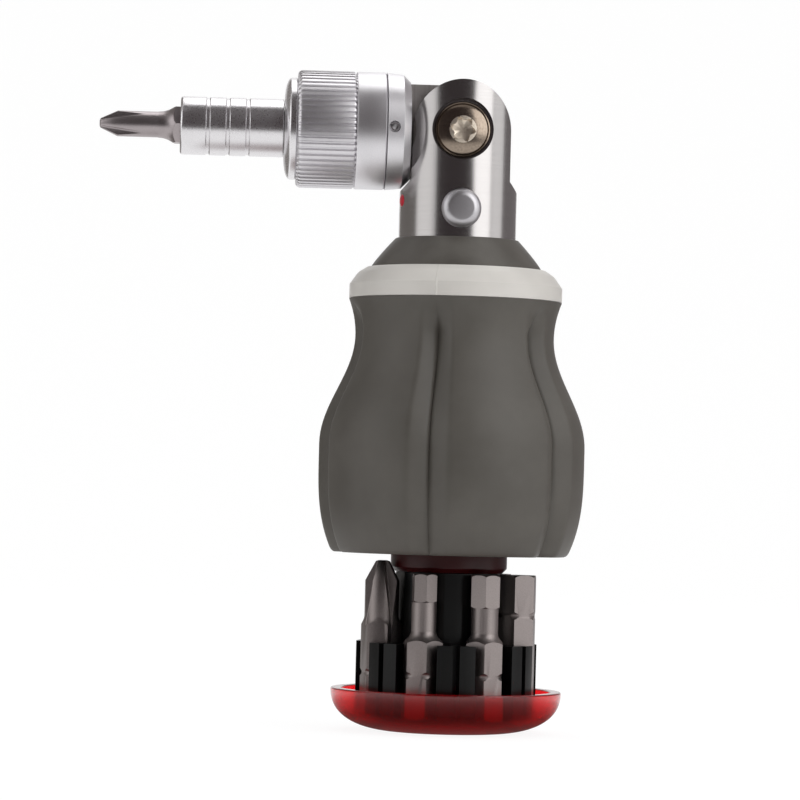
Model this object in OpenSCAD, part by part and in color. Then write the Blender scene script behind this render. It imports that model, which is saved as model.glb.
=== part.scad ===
// Stubby ratcheting screwdriver with a folding head and a pull-out bit store.
// It stands on the foot of its storage cap, with the handle along +Z. The ratchet
// head points along -X, and the pivot screw and the lock button face -Y.

/* [Storage cap] */
// Radius of the cap at its rim
cap_r = 20.6; // [20:0.1:21.5]
// Height of the rim above the foot
cap_h = 7.6; // [7.2:0.1:9]
// Radius of the flat foot
cap_foot_r = 7.8; // [6:0.1:9]
// Thickness of the wall at the rim
cap_rim_wall = 1.9; // [1.5:0.1:2.3]
// Thickness of the floor
cap_floor_t = 1.8; // [1.5:0.1:2]
// Distance that the store slides out of the handle
store_travel = 24; // [20:0.5:26]

/* [Bit carousel] */
// Radius of the circle that the stored bits stand on
bit_circle_r = 12.4; // [12.3:0.05:12.7]
// Outer radius of the clip walls
carousel_r = 16.2; // [16:0.05:16.4]
// Radius of the black core between the bits
core_r = 9.4; // [9.2:0.05:9.5]
// Height of the clip walls above the floor that the bits stand on
clip_wall_h = 12.7; // [8:0.1:16]
// Thickness of the carousel's floor
carousel_floor_t = 1.3; // [1:0.1:1.6]
// Width of the slot that lets a pair of clip walls spring
clip_slot_w = 1.2; // [0.8:0.1:1.6]

/* [Store post] */
// Outer radius of the tube that slides in the handle
post_r = 10.4; // [10:0.05:10.6]
// Inner radius of the tube
post_bore_r = 8.7; // [8.6:0.05:8.9]
// Radius of the spindle that the carousel turns on
axle_r = 4.5; // [4:0.1:5.5]
// Radius of the peg that holds the cap
peg_r = 2.5; // [2:0.1:3]

/* [Bits] */
// Hexagon of the shanks, across the flats
bit_af = 6.35; // [6.2:0.01:6.4]
// Length of a common bit
bit_len = 25; // [24:0.1:26]
// Length of the large cross-head bit
long_bit_len = 27.1; // [26:0.1:28]
// Distance from the shank's end to the middle of the notches
notch_at = 7.2; // [6:0.1:8.5]

/* [Handle] */
// Length of the rubber grip
grip_len = 45.3; // [44:0.1:48]
// Radius of the grip at its lower edge
grip_foot_r = 21.05; // [20.8:0.05:22]
// Radius of the grip at its belly
grip_belly_r = 23.75; // [23:0.05:25]
// Radius of the grip at its waist
grip_waist_r = 17.77; // [17.4:0.05:18.5]
// Radius of the grip where it meets the ring
grip_top_r = 19.05; // [18.4:0.05:19.8]
// Angle between the three creases that face forward
front_crease_gap = 65; // [60:1:68]
// Angle that one flute covers on each side of its crease
flute_half_angle = 10.5; // [8:0.5:13]
// Depth of the crease at the belly
flute_depth = 2.1; // [1:0.1:2.2]
// Radius of the core's wall round the bit space
core_out_r = 18.2; // [18:0.05:18.4]
// Radius of the core's neck under the ring
neck_r = 14; // [13.8:0.05:14.4]
// Radius of the space that the bits slide into
bit_space_r = 16.7; // [16.6:0.05:16.9]

/* [Ring and cone] */
// Height of the pale ring
ring_h = 5.7; // [5.2:0.1:7]
// Radius of the ring's lower band
ring_r = 19.1; // [18.6:0.05:20]
// Height of the dark cone
cone_h = 5.3; // [5:0.1:6]
// Radius of the cone at its lower edge
cone_r = 15.3; // [15:0.05:16]
// Radius of the cone at its top
cone_top_r = 11; // [10.8:0.05:11.5]

/* [Yoke] */
// Radius of the yoke's round base and of the ratchet head
head_r = 10.5; // [10.3:0.05:10.8]
// Height of the pivot above the yoke's base
pivot_h = 19.05; // [18.8:0.05:20]
// Radius of the rounded ears
ear_r = 8.8; // [8.6:0.05:9.2]
// Width of the slot between the ears
slot_w = 8.6; // [8.2:0.1:9]
// Radius of the stem inside the handle
stem_r = 6; // [5.6:0.05:6.2]
// Radius of the pivot screw's shank
pivot_r = 3.5; // [3:0.05:3.7]
// Radius of the pivot screw's head
screw_head_r = 4.8; // [4.6:0.05:5]

/* [Lock] */
// Radius of the lock button
button_r = 3.5; // [3.45:0.01:3.6]
// Distance that the button is pressed in
button_travel = 1.8; // [1.2:0.1:1.8]
// Radius of the plunger that rises into the tongue
plunger_r = 2.6; // [2.4:0.05:2.7]
// Rise of the plunger for each millimetre of the button
wedge_slope = 0.7; // [0.5:0.05:0.7]

/* [Ratchet head] */
// Half height of the tongue, and the radius of its rounded tail
tongue_r = 8.2; // [7.9:0.05:8.4]
// Length of the collar behind the selector sleeve
collar_len = 4.2; // [3.8:0.1:5]
// Length of the sleeve's smooth band
smooth_len = 5.45; // [5:0.05:6]
// Length of the sleeve's knurled band
knurl_len = 10.3; // [9.8:0.1:11]
// Number of ribs in the knurl
knurl_count = 60; // [48:4:72]
// Depth of the knurl
knurl_depth = 0.4; // [0.2:0.05:0.6]
// Outer radius of the barrel inside the sleeve
barrel_r = 8.4; // [8.35:0.01:8.45]
// Radius of the front flange
flange_r = 9.1; // [8.9:0.05:9.6]
// Thickness of the front flange
flange_len = 2.15; // [1.8:0.05:2.6]
// Angle that the selector turns between forward and reverse
selector_turn = 40; // [30:1:40]

/* [Ratchet] */
// Number of teeth on the spindle
tooth_count = 24; // [24:24:24]
// Radius of the spindle over its teeth
tooth_tip_r = 5.4; // [5.3:0.02:5.44]
// Depth of the teeth
tooth_depth = 0.8; // [0.6:0.05:0.85]
// Length of the teeth
tooth_len = 7.6; // [7.4:0.1:8]
// Radius of the spindle's front journal
journal_r = 4.4; // [4.2:0.05:4.6]

/* [Bit holder] */
// Outer radius of the holder
holder_r = 5.2; // [5.1:0.05:5.6]
// Length of the holder
holder_len = 18.35; // [18:0.05:20]
// Depth of the hexagonal socket
socket_depth = 10.6; // [10:0.1:11]
// Pitch of the three outer grooves
holder_groove_pitch = 3.55; // [3:0.05:3.8]

/* [Fits] */
// Running clearance between a round piece and its bore
fit = 0.05; // [0.03:0.01:0.08]
// Gap between flat faces that slide past each other
side_gap = 0.15; // [0.1:0.01:0.2]
// Gap under a piece that stands or turns on a face
seat_gap = 0.1; // [0.05:0.01:0.12]

/* [Hidden] */
$fn = 96;

// Heights along the handle, from the foot up
carousel_z = cap_floor_t + seat_gap;
bit_floor_z = carousel_z + carousel_floor_t;
bit_z = bit_floor_z + seat_gap;
core_top_z = bit_z + bit_len + seat_gap;
post_z = core_top_z + seat_gap;
handle_z = cap_h + store_travel + seat_gap;
grip_top = handle_z + grip_len;
ring_top = grip_top + ring_h;
yoke_z = ring_top + cone_h;
pivot_z = yoke_z + pivot_h;

// Heights inside the handle. What the store's stroke leaves over goes to the guide and to the roof
bit_space_top = bit_z + long_bit_len + store_travel + 4 * seat_gap;
stop_ring_t = 1;
post_lip = 0.2;
post_end_len = seat_gap + stop_ring_t + post_lip;
stroke_h = store_travel + 2 * seat_gap;
spare_h = yoke_z - bit_space_top - stroke_h - post_end_len;
guide_share = 0.4156;
guide_len = guide_share * spare_h;
guide_top = bit_space_top + guide_len;
post_top = guide_top + post_end_len;
chamber_top = post_top + stroke_h;
roof_h = yoke_z - chamber_top;
plate_top = yoke_z - 0.444 * roof_h;
cap_seat_top = chamber_top + 0.178 * roof_h;

// The handle's inner sizes
chamber_r = (post_r + neck_r) / 2 - 0.2;
guide_r = chamber_r + 0.8;
boss_r = post_bore_r - 0.5;
boss_z = guide_top + 4;
plate_r = 9;
cap_seat_r = chamber_r + 1;
core_taper_z = guide_top - 1;
core_taper_len = 9;
stem_pin_r = 1.25;
stem_pin_up = 10;
stem_pin_z = boss_z + stem_pin_up;
stop_ring_r = chamber_r - 0.4;
stop_groove_depth = 0.8;
post_floor_t = 2.5;
peg_len = 5;
cap_inner_foot_r = cap_foot_r + 3.2;
carousel_foot_r = cap_inner_foot_r + 0.4;
post_chamfer = 0.8;

// The lines of the grip, measured from its lower edge
belly_from = 16.8;
belly_to = 19.3;
waist_at = grip_len - 6.5;
front_crease_at = -101.5;
back_crease_gap = (360 - 2 * front_crease_gap) / 4;
flute_foot_depth = 0.8 * flute_depth;
flute_end = grip_len - 1;
flute_fade = 5;
flute_soft = 0.3;

// The yoke and what it holds
flat_z = pivot_z - ear_r - 0.05;
shoulder_slope = 1.12;
slot_floor = pivot_z - tongue_r - 0.25;
counterbore_r = screw_head_r + 0.75;
screw_seat_y = 7;
screw_head_h = 2.6;
nut_r = 4.6;
nut_seat_y = 6.4;
nut_h = 2.8;
thread_r = 2.5;
washer_t = 0.3;
washer_r = tongue_r - 0.4;
tongue_t = slot_w - 2 * (washer_t + fit);
button_z = yoke_z + 5;
button_proud = 1.3;
button_face_r = 2.2;
button_chamfer = 1.1;
button_back = 7;
button_bore_end = 5.5;
wedge_half_w = 1.1;
wedge_half_h = 0.75;
wedge_tail = 0.7;
wedge_front = plunger_r + button_travel + 0.1;
wedge_back = plunger_r + 0.1;
plunger_z = yoke_z - 0.8;
plunger_top = slot_floor - 0.1;
notch_depth = button_travel * wedge_slope + 0.5;
lock_spring_r = 1.6;
lock_spring_len = 3.2;
indicator_r = 1.15;
indicator_z = yoke_z + 6.6;
indicator_angle = 194;

// Stations along the ratchet head, from the pivot forward
collar_u = ear_r + 0.3;
collar_chamfer = 1.6;
sleeve_u = collar_u + collar_len + side_gap;
knurl_u = sleeve_u + smooth_len;
sleeve_end = knurl_u + knurl_len;
flange_u = sleeve_end + side_gap;
flange_end = flange_u + flange_len;
holder_u = flange_end + side_gap;
holder_end = holder_u + holder_len;
bit_u = holder_end - socket_depth;
spigot_r = 6.5;
spigot_len = 5.3;
web_u = collar_u + spigot_len;
web_t = 2.2;
gear_u = web_u + web_t + seat_gap;
gear_end = gear_u + tooth_len;
gear_space_r = tooth_tip_r + 0.2;
cap_spigot_u = gear_end + 0.4;
cap_spigot_r = 6.9;
rear_journal_r = 3;
nose_r = 3.4;
nose_len = 4.9;
sleeve_bore_r = barrel_r + 0.1;
roll_pin_r = 1;
roll_pin_u = collar_u + 3;

// The two pawls
pawl_len = 6;
pawl_u = gear_u + 0.9;
pawl_pin_r = 0.8;
pawl_pin_end = 0.8;
pawl_spring_r = barrel_r - 0.05;
pawl_spring_t = 0.25;
pawl_hole_r = 0.5;
pawl_hole_at = 6.65;
pawl_pivot = [6.9 * cos(6), 6.9 * sin(6)];
pawl_lift = 13.9;
heel_angle = 28;
heel_r = 9.1;
relief_r = heel_r + 0.1;
pocket_angle = 37;
detent_u = web_u + 1.2;
detent_ball_r = 0.95;
detent_at = barrel_r - 0.5;
stop_pin_r = 0.75;
stop_pin_u = cap_spigot_u + 2.2;

// The bit holder and the bits
socket_r = (bit_af + 0.1) / sqrt(3);
magnet_r = 2.9;
magnet_u = holder_u + nose_len + fit;
clip_wire_r = 0.25;
clip_u = bit_u + notch_at;
holder_groove_w = 1;
holder_groove_depth = 0.3;
holder_groove_u = holder_end - 12;
bit_r = bit_af / sqrt(3);
store_count = 7;
store_pitch = 360 / store_count;
store_phase = -164.5;
channel_w = 2 * bit_r + 0.27;
channel_r = bit_circle_r - bit_af / 2 - 0.17;

GRIP = [0.35, 0.34, 0.32];
DARK = [0.4, 0.39, 0.37];
PALE = [0.78, 0.77, 0.75];
STEEL = [0.72, 0.71, 0.7];
CHROME = [0.85, 0.85, 0.86];
NICKEL = [0.42, 0.38, 0.34];
BIT = [0.5, 0.48, 0.46];
RED = [0.6, 0.1, 0.1];
BLACK = [0.1, 0.1, 0.1];
BRASS = [0.75, 0.6, 0.35];

// Points on a quarter ellipse, from its lowest point up to its widest
function bowl(r0, z0, a, b, n = 10) =
    [for (i = [0:n]) [r0 + a * sin(90 * i / n), z0 + b * (1 - cos(90 * i / n))]];

// Points of a curved stretch of a profile, given the radius at each share of it
function smooth(t) = (1 - cos(180 * t)) / 2;

// Radius of the plain grip at a height above its lower edge
function grip_r(h) =
    h < belly_from
        ? grip_belly_r - (grip_belly_r - grip_foot_r) * pow(1 - h / belly_from, 3)
        : h < belly_to
            ? grip_belly_r
            : h < waist_at
                ? grip_belly_r + (grip_waist_r - grip_belly_r)
                    * smooth((h - belly_to) / (waist_at - belly_to))
                : grip_waist_r + (grip_top_r - grip_waist_r)
                    * pow((h - waist_at) / (grip_len - waist_at), 2);

// Depth of the crease at a height, fading out below the ring
function crease_depth(h) =
    h > flute_end
        ? 0
        : min(1, (flute_end - h) / flute_fade)
            * (flute_foot_depth + (flute_depth - flute_foot_depth) * min(1, h / belly_from));

// Share of the depth across a flute: a straight flank with a soft edge
function flute_shape(t) =
    (t > 1 - flute_soft ? (1 - t) * (1 - t) / (2 * flute_soft) : 1 - t - flute_soft / 2)
        / (1 - flute_soft / 2);

// Angles of the creases, and the angle from each one to the next
crease_gaps = [
    front_crease_gap, front_crease_gap,
    back_crease_gap, back_crease_gap, back_crease_gap, back_crease_gap
];
crease_at = [
    for (k = [0:5])
        front_crease_at + (k < 2 ? (k - 1) * front_crease_gap
            : front_crease_gap + (k - 2) * back_crease_gap)
];

// Angles round the grip: close together in the flutes, wider between them
FLUTE_STEPS = [-1, -0.85, -0.7, -0.35, 0, 0.35, 0.7, 0.85];
land_steps = 7;
grip_angles = [
    for (k = [0:5])
        each concat(
            [for (t = FLUTE_STEPS) [crease_at[k] + t * flute_half_angle, abs(t)]],
            [for (i = [0:land_steps - 1])
                [crease_at[k] + flute_half_angle
                    + (crease_gaps[k] - 2 * flute_half_angle) * i / land_steps, 1]]
        )
];
grip_heights = concat(
    [for (i = [0:4]) belly_from * i / 5],
    [belly_from],
    [for (i = [0:7]) belly_to + (waist_at - belly_to) * i / 8],
    [for (i = [0:4]) waist_at + (grip_len - waist_at) * i / 4]
);

// Inner line of the grip, from the top down, clear of the core by the sag of its facets
facet_gap = 0.05;
grip_inside = [
    [neck_r + facet_gap, grip_top],
    [neck_r + facet_gap, core_taper_z + core_taper_len],
    [core_out_r + facet_gap, core_taper_z],
    [core_out_r + facet_gap, handle_z]
];

// One section of the grip at an angle whose distance from a crease is t
function grip_section(t) = concat(
    [for (h = grip_heights) [grip_r(h) - crease_depth(h) * flute_shape(t), handle_z + h]],
    grip_inside
);

// A closed surface through a ring of sections that all have the same number of points
module ring_of_sections(angles, sections) {
    n = len(sections[0]);
    m = len(sections);
    points = [
        for (j = [0:m - 1])
            for (p = sections[j]) [p[0] * cos(angles[j]), p[0] * sin(angles[j]), p[1]]
    ];
    faces = [
        for (j = [0:m - 1])
            for (i = [0:n - 1])
                let (a = j * n + i, b = j * n + (i + 1) % n,
                     c = ((j + 1) % m) * n + (i + 1) % n, d = ((j + 1) % m) * n + i)
                    each [[a, b, c], [a, c, d]]
    ];
    polyhedron(points = points, faces = faces, convexity = 6);
}

// Places a shape drawn along +Z so that it lies along the ratchet head
module at_head() {
    translate([0, 0, pivot_z]) rotate([0, -90, 0]) children();
}

// Places a shape drawn along +Z so that it lies along +Y at a height
module along_y(z, y = 0) {
    translate([0, y, z]) rotate([-90, 0, 0]) children();
}

// A tube drawn along +Z
module tube(r_out, r_in, h) {
    difference() {
        cylinder(r = r_out, h = h);
        translate([0, 0, -1]) cylinder(r = r_in, h = h + 2);
    }
}

// A hexagonal bar with chamfered ends and a flat towards +X
module hex_bar(af, h, chamfer = 0.4) {
    r = af / sqrt(3);
    intersection() {
        rotate([0, 0, 30]) cylinder(r = r, h = h, $fn = 6);
        union() {
            cylinder(r1 = r - chamfer, r2 = r, h = chamfer);
            translate([0, 0, chamfer]) cylinder(r = r + 0.01, h = h - 2 * chamfer);
            translate([0, 0, h - chamfer]) cylinder(r1 = r, r2 = r - chamfer, h = chamfer);
        }
    }
}

// The ring of six notches ground into the corners of a shank
module shank_notches(z) {
    translate([0, 0, z]) rotate_extrude() translate([bit_r + 0.35, 0]) circle(r = 0.85);
}

// A bit's hexagonal shank, its flare and its round neck, from z = 0
module bit_body(hex_len, flare_len, neck_r, neck_end) {
    difference() {
        hex_bar(bit_af, hex_len);
        shank_notches(notch_at);
    }
    translate([0, 0, hex_len - 0.4])
        cylinder(r1 = bit_af / 2, r2 = neck_r, h = flare_len);
    cylinder(r = neck_r, h = neck_end);
}

// A cross-head bit: a cone with four grooves that run out along the neck
module cross_bit(len, hex_len, neck_r, tip_r, taper, groove_len) {
    root = 0.28 * neck_r;
    lean = atan((neck_r - root) / groove_len);
    difference() {
        union() {
            bit_body(hex_len, 2, neck_r, len - taper);
            translate([0, 0, len - taper]) cylinder(r1 = neck_r, r2 = tip_r, h = taper);
        }
        for (k = [0:3])
            rotate([0, 0, 45 + 90 * k]) translate([root, 0, len]) rotate([0, -lean, 0])
                rotate([0, 0, -45]) translate([0, 0, -groove_len - 1])
                    cube([5, 5, groove_len + 3]);
    }
}

// A bit with a hexagonal tip
module hex_tip_bit(af, neck_r, tip_len) {
    bit_body(13.4, 2.4, neck_r, bit_len - tip_len + 0.5);
    translate([0, 0, bit_len - tip_len]) hex_bar(af, tip_len, 0.25);
}

// Places a stored bit at its place round the carousel
module at_store(k) {
    rotate([0, 0, store_phase + store_pitch * k]) translate([bit_circle_r, 0, bit_z])
        children();
}

module handle_core() {
    color(DARK) difference() {
        rotate_extrude() polygon([
            [0, handle_z], [core_out_r, handle_z], [core_out_r, core_taper_z],
            [neck_r, core_taper_z + core_taper_len], [neck_r, ring_top],
            [cap_seat_r, ring_top], [cap_seat_r, cap_seat_top],
            [plate_r, cap_seat_top], [plate_r, plate_top], [0, plate_top]
        ]);
        translate([0, 0, handle_z - 1])
            cylinder(r = bit_space_r, h = bit_space_top - handle_z + 1);
        translate([0, 0, bit_space_top - 1]) cylinder(r = guide_r, h = guide_len + 1);
        difference() {
            translate([0, 0, guide_top - 1]) cylinder(r = chamber_r, h = chamber_top - guide_top + 1);
            translate([0, 0, boss_z]) cylinder(r = boss_r, h = chamber_top - boss_z + 1);
        }
        translate([0, 0, boss_z - 1]) cylinder(r = stem_r, h = plate_top - boss_z + 2);
        along_y(stem_pin_z, -boss_r - 1) cylinder(r = stem_pin_r, h = 2 * boss_r + 2);
    }
}

module handle_grip() {
    color(GRIP)
        ring_of_sections(
            [for (a = grip_angles) a[0]],
            [for (a = grip_angles) grip_section(a[1])]
        );
}

module trim_ring() {
    band_h = 0.47 * ring_h;
    color(PALE) rotate_extrude() polygon([
        [neck_r, grip_top], [ring_r, grip_top], [ring_r, grip_top + band_h],
        [ring_r - 1.4, ring_top - 1.1], [cone_r + 0.8, ring_top], [neck_r, ring_top]
    ]);
}

module handle_cone() {
    color(DARK) rotate_extrude() polygon(concat(
        [[cap_seat_r, ring_top]],
        [for (i = [0:6]) [cone_r - (cone_r - cone_top_r) * pow(i / 6, 1.15), ring_top + cone_h * i / 6]],
        [[stem_r, yoke_z], [stem_r, plate_top], [plate_r, plate_top],
         [plate_r, cap_seat_top], [cap_seat_r, cap_seat_top]]
    ));
}

module post_guide() {
    color(BLACK) translate([0, 0, bit_space_top]) tube(guide_r, post_r + 2 * fit, guide_len);
}

// Front view of the yoke: a round bar milled flat above the shoulders, with round ears
module yoke_outline() {
    side = head_r + 1;
    polygon([
        [-side, yoke_z], [side, yoke_z], [side, flat_z - (side - ear_r) * shoulder_slope],
        [ear_r, flat_z], [ear_r, pivot_z], [-ear_r, pivot_z], [-ear_r, flat_z],
        [-side, flat_z - (side - ear_r) * shoulder_slope]
    ]);
    translate([0, pivot_z]) circle(r = ear_r);
}

module yoke() {
    color(STEEL) difference() {
        union() {
            intersection() {
                translate([0, 0, yoke_z]) cylinder(r = head_r, h = pivot_h + ear_r + 1);
                rotate([90, 0, 0]) linear_extrude(height = 2 * head_r + 2, center = true)
                    yoke_outline();
            }
            translate([0, 0, boss_z + 1]) cylinder(r = stem_r, h = yoke_z - boss_z);
        }
        translate([-head_r - 1, -slot_w / 2, slot_floor])
            cube([2 * head_r + 2, slot_w, pivot_h + ear_r]);
        along_y(pivot_z, -head_r - 1) cylinder(r = counterbore_r, h = head_r + 1 - screw_seat_y);
        along_y(pivot_z, -head_r - 1) cylinder(r = pivot_r + fit, h = 2 * head_r + 2);
        along_y(pivot_z, nut_seat_y) cylinder(r = nut_r + fit, h = head_r);
        along_y(button_z, -head_r - 1) cylinder(r = button_r + fit, h = head_r + 1 + button_bore_end);
        along_y(button_z - wedge_fall(), button_bore_end - 1)
            cylinder(r = lock_spring_r + fit, h = lock_spring_len + 1);
        translate([0, 0, plunger_z - 0.3])
            cylinder(r = plunger_r + fit, h = slot_floor - plunger_z + 1);
        along_y(stem_pin_z, -stem_r - 1) cylinder(r = stem_pin_r, h = 2 * stem_r + 2);
        at_indicator() translate([0, 0, -1.2]) cylinder(r = indicator_r, h = 2);
    }
}

module stem_pin() {
    color(STEEL) along_y(stem_pin_z, -boss_r + 0.1) cylinder(r = stem_pin_r, h = 2 * boss_r - 0.2);
}

// A six-lobed star for the recess of the screw and for a star bit
module star(r) {
    difference() {
        union() {
            circle(r = 0.8 * r);
            for (k = [0:5]) rotate(60 * k) translate([0.8 * r, 0]) circle(r = 0.2 * r);
        }
        for (k = [0:5]) rotate(60 * k + 30) translate([0.98 * r, 0]) circle(r = 0.26 * r);
    }
}

module pivot_screw() {
    dome_n = 6;
    rim_h = 1.1;
    dome_h = screw_head_h - rim_h;
    color(NICKEL) along_y(pivot_z) difference() {
        union() {
            translate([0, 0, -screw_seat_y]) cylinder(r = pivot_r, h = screw_seat_y + nut_seat_y);
            translate([0, 0, nut_seat_y - 1]) cylinder(r = thread_r, h = nut_h + 0.8);
            rotate_extrude() polygon(concat(
                [[0, -screw_seat_y], [screw_head_r, -screw_seat_y]],
                [for (i = [0:dome_n])
                    [screw_head_r - (screw_head_r - 2.6) * (1 - cos(90 * i / dome_n)),
                     -screw_seat_y - rim_h - dome_h * sin(90 * i / dome_n)]],
                [[0, -screw_seat_y - screw_head_h]]
            ));
        }
        translate([0, 0, -screw_seat_y - screw_head_h - 1])
            linear_extrude(height = 2.7) star(2.45);
    }
}

module pivot_nut() {
    color(NICKEL) along_y(pivot_z, nut_seat_y) difference() {
        tube(nut_r, thread_r, nut_h);
        for (k = [0:1])
            translate([k == 0 ? -3.55 : 3.55, 0, nut_h - 1]) cylinder(r = 0.6, h = 2);
    }
}

module tilt_washers() {
    color(BRASS) for (side = [-1, 1])
        along_y(pivot_z, side * (slot_w - washer_t) / 2 - washer_t / 2)
            tube(washer_r, pivot_r + fit, washer_t);
}

// Stands at the left side of the yoke's base, with +Z pointing out of its surface
module at_indicator() {
    translate([0, 0, indicator_z]) rotate([0, 0, indicator_angle]) rotate([0, 90, 0])
        translate([0, 0, head_r]) children();
}

module lock_indicator() {
    color([0.65, 0.1, 0.15]) at_indicator() translate([0, 0, -1.2]) {
        cylinder(r = indicator_r, h = 1.2);
        translate([0, 0, 1.2]) cylinder(r1 = indicator_r, r2 = 0.6, h = 0.25);
    }
}

// Distance that the wedge falls below, or rises above, the middle of the button
function wedge_fall() = wedge_slope * (wedge_front + wedge_back) / 2;

// Side view of the wedge bar, drawn with Y to the right and the height upward
module wedge_side() {
    fall = wedge_fall();
    h = wedge_half_h;
    polygon([
        [-button_back - 1, fall - h], [-wedge_front, fall - h], [wedge_back, -fall - h],
        [wedge_back + wedge_tail, -fall - h], [wedge_back + wedge_tail, -fall + h],
        [wedge_back, -fall + h], [-wedge_front, fall + h], [-button_back - 1, fall + h]
    ]);
}

// Turns a side view into a plate of a given width across the yoke
module plate_across(w) {
    rotate([90, 0, 90]) linear_extrude(height = w, center = true) children();
}

module lock_button() {
    color(CHROME) {
        along_y(button_z) translate([0, 0, -head_r - button_proud]) {
            cylinder(r1 = button_face_r, r2 = button_r, h = button_chamfer);
            translate([0, 0, button_chamfer])
                cylinder(r = button_r, h = head_r + button_proud - button_chamfer - button_back);
        }
        translate([0, 0, button_z]) plate_across(2 * wedge_half_w) wedge_side();
    }
}

module lock_plunger() {
    reach = plunger_r + 0.6;
    mid = (wedge_back - wedge_front) / 2;
    h = wedge_half_h + 0.06;
    color(STEEL) difference() {
        union() {
            translate([0, 0, plunger_z]) cylinder(r = plunger_r, h = plunger_top - plunger_z - 0.5);
            translate([0, 0, plunger_top - 0.5])
                cylinder(r1 = plunger_r, r2 = plunger_r - 0.5, h = 0.5);
        }
        translate([0, 0, button_z]) plate_across(2 * wedge_half_w + 0.12) polygon([
            [-reach, wedge_slope * (reach + mid) - h], [reach, wedge_slope * (mid - reach) - h],
            [reach, wedge_slope * (mid - reach) + h], [-reach, wedge_slope * (reach + mid) + h]
        ]);
    }
}

module lock_spring() {
    color(STEEL) along_y(button_z - wedge_fall(), button_bore_end - 0.1)
        tube(lock_spring_r - 0.1, 0.9, lock_spring_len + 0.1);
}

module tongue_block() {
    color(DARK) at_head() difference() {
        union() {
            translate([-tongue_r, -tongue_t / 2, 0]) cube([2 * tongue_r, tongue_t, collar_u]);
            rotate([90, 0, 0]) cylinder(r = tongue_r, h = tongue_t, center = true);
            translate([0, 0, collar_u - 0.5]) intersection() {
                cylinder(r = spigot_r, h = spigot_len + 0.5);
                union() {
                    translate([-tongue_r, -tongue_t / 2, 0]) cube([2 * tongue_r, tongue_t, 1]);
                    translate([0, 0, 0.5]) cylinder(r = spigot_r, h = spigot_len);
                }
            }
        }
        rotate([90, 0, 0]) cylinder(r = pivot_r + fit, h = slot_w, center = true);
        for (a = [90, 180, 270])
            rotate([0, a, 0]) translate([0, 0, tongue_r - notch_depth])
                cylinder(r = plunger_r + 0.1, h = notch_depth + 1);
        translate([0, 0, roll_pin_u]) rotate([90, 0, 0])
            cylinder(r = roll_pin_r, h = 2 * head_r, center = true);
    }
}

// Cuts the pocket that one pawl rocks in, seen along the head
module pocket_outline() {
    far = barrel_r + 2;
    polygon([
        [2, 2 * tan(pocket_angle)], [far, far * tan(pocket_angle)],
        [far, -far * tan(pocket_angle)], [2, -2 * tan(pocket_angle)]
    ]);
}

module ratchet_body() {
    color(STEEL) at_head() difference() {
        union() {
            translate([0, 0, collar_u])
                cylinder(r1 = head_r - collar_chamfer, r2 = head_r, h = collar_chamfer);
            translate([0, 0, collar_u + collar_chamfer])
                cylinder(r = head_r, h = collar_len - collar_chamfer);
            translate([0, 0, collar_u + collar_len - 0.5])
                cylinder(r = barrel_r, h = flange_u - collar_u - collar_len + 0.5);
        }
        translate([0, 0, collar_u - 1]) cylinder(r = spigot_r, h = spigot_len + 1);
        translate([0, 0, web_u - 1]) cylinder(r = rear_journal_r + fit, h = web_t + 2);
        translate([0, 0, web_u + web_t]) cylinder(r = gear_space_r, h = cap_spigot_u - web_u);
        translate([0, 0, cap_spigot_u]) cylinder(r = cap_spigot_r, h = flange_u - cap_spigot_u + 1);
        for (side = [0, 1]) mirror([side, 0, 0]) {
            translate([0, 0, pawl_u - side_gap]) linear_extrude(height = pawl_len + 2 * side_gap)
                pocket_outline();
            translate([pawl_pivot[0], pawl_pivot[1], pawl_u - pawl_pin_end])
                cylinder(r = pawl_pin_r, h = pawl_len + 2 * pawl_pin_end);
        }
        translate([0, 0, detent_u]) rotate([-90, 0, 0])
            translate([0, 0, rear_journal_r + 0.6]) cylinder(r = detent_ball_r + fit, h = barrel_r);
        translate([0, 0, stop_pin_u]) rotate([90, 0, 0]) cylinder(r = stop_pin_r, h = barrel_r + 1);
        translate([0, 0, roll_pin_u]) rotate([90, 0, 0])
            cylinder(r = roll_pin_r, h = 2 * head_r + 2, center = true);
    }
}

module collar_roll_pin() {
    pin_len = 2 * head_r - 0.7;
    color(STEEL) at_head() translate([0, 0, roll_pin_u]) rotate([90, 0, 0]) difference() {
        cylinder(r = roll_pin_r, h = pin_len, center = true);
        cylinder(r = 0.55, h = pin_len + 2, center = true);
        translate([0, -0.15, -pin_len]) cube([2, 0.3, 2 * pin_len]);
    }
}

module front_cap() {
    dome_w = 4;
    dome_h = 1.2;
    color(CHROME) at_head() rotate_extrude() polygon(concat(
        [[journal_r + fit, cap_spigot_u], [cap_spigot_r, cap_spigot_u],
         [cap_spigot_r, flange_u], [flange_r, flange_u]],
        [for (i = [0:6])
            [flange_r - dome_w * (1 - cos(15 * i)), flange_end - dome_h + dome_h * sin(15 * i)]],
        [[journal_r + fit, flange_end]]
    ));
}

module pawl_pins() {
    color(STEEL) at_head() for (side = [0, 1]) mirror([side, 0, 0])
        translate([pawl_pivot[0], pawl_pivot[1], pawl_u - pawl_pin_end])
            cylinder(r = pawl_pin_r, h = pawl_len + 2 * pawl_pin_end);
}

// Side view of the forward pawl with its tip down between two teeth. The hole in its arm
// brings its centre of mass to the pivot
module pawl_outline() {
    at = function (r, a) [r * cos(a), r * sin(a)];
    difference() {
        polygon([
            at(tooth_tip_r - tooth_depth + 0.18, -22.5), at(5.75, -15.5), at(5.8, 0),
            at(5.85, 12), at(6.7, 25), at(8.1, 30), at(heel_r, heel_angle),
            at(8.7, 24), at(8.1, 12), at(7.85, 0), at(7.7, -8), at(7, -22), at(6.1, -27)
        ]);
        translate(pawl_pivot) circle(r = pawl_pin_r + fit);
        translate(at(pawl_hole_at, -10)) circle(r = pawl_hole_r);
    }
}

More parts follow.
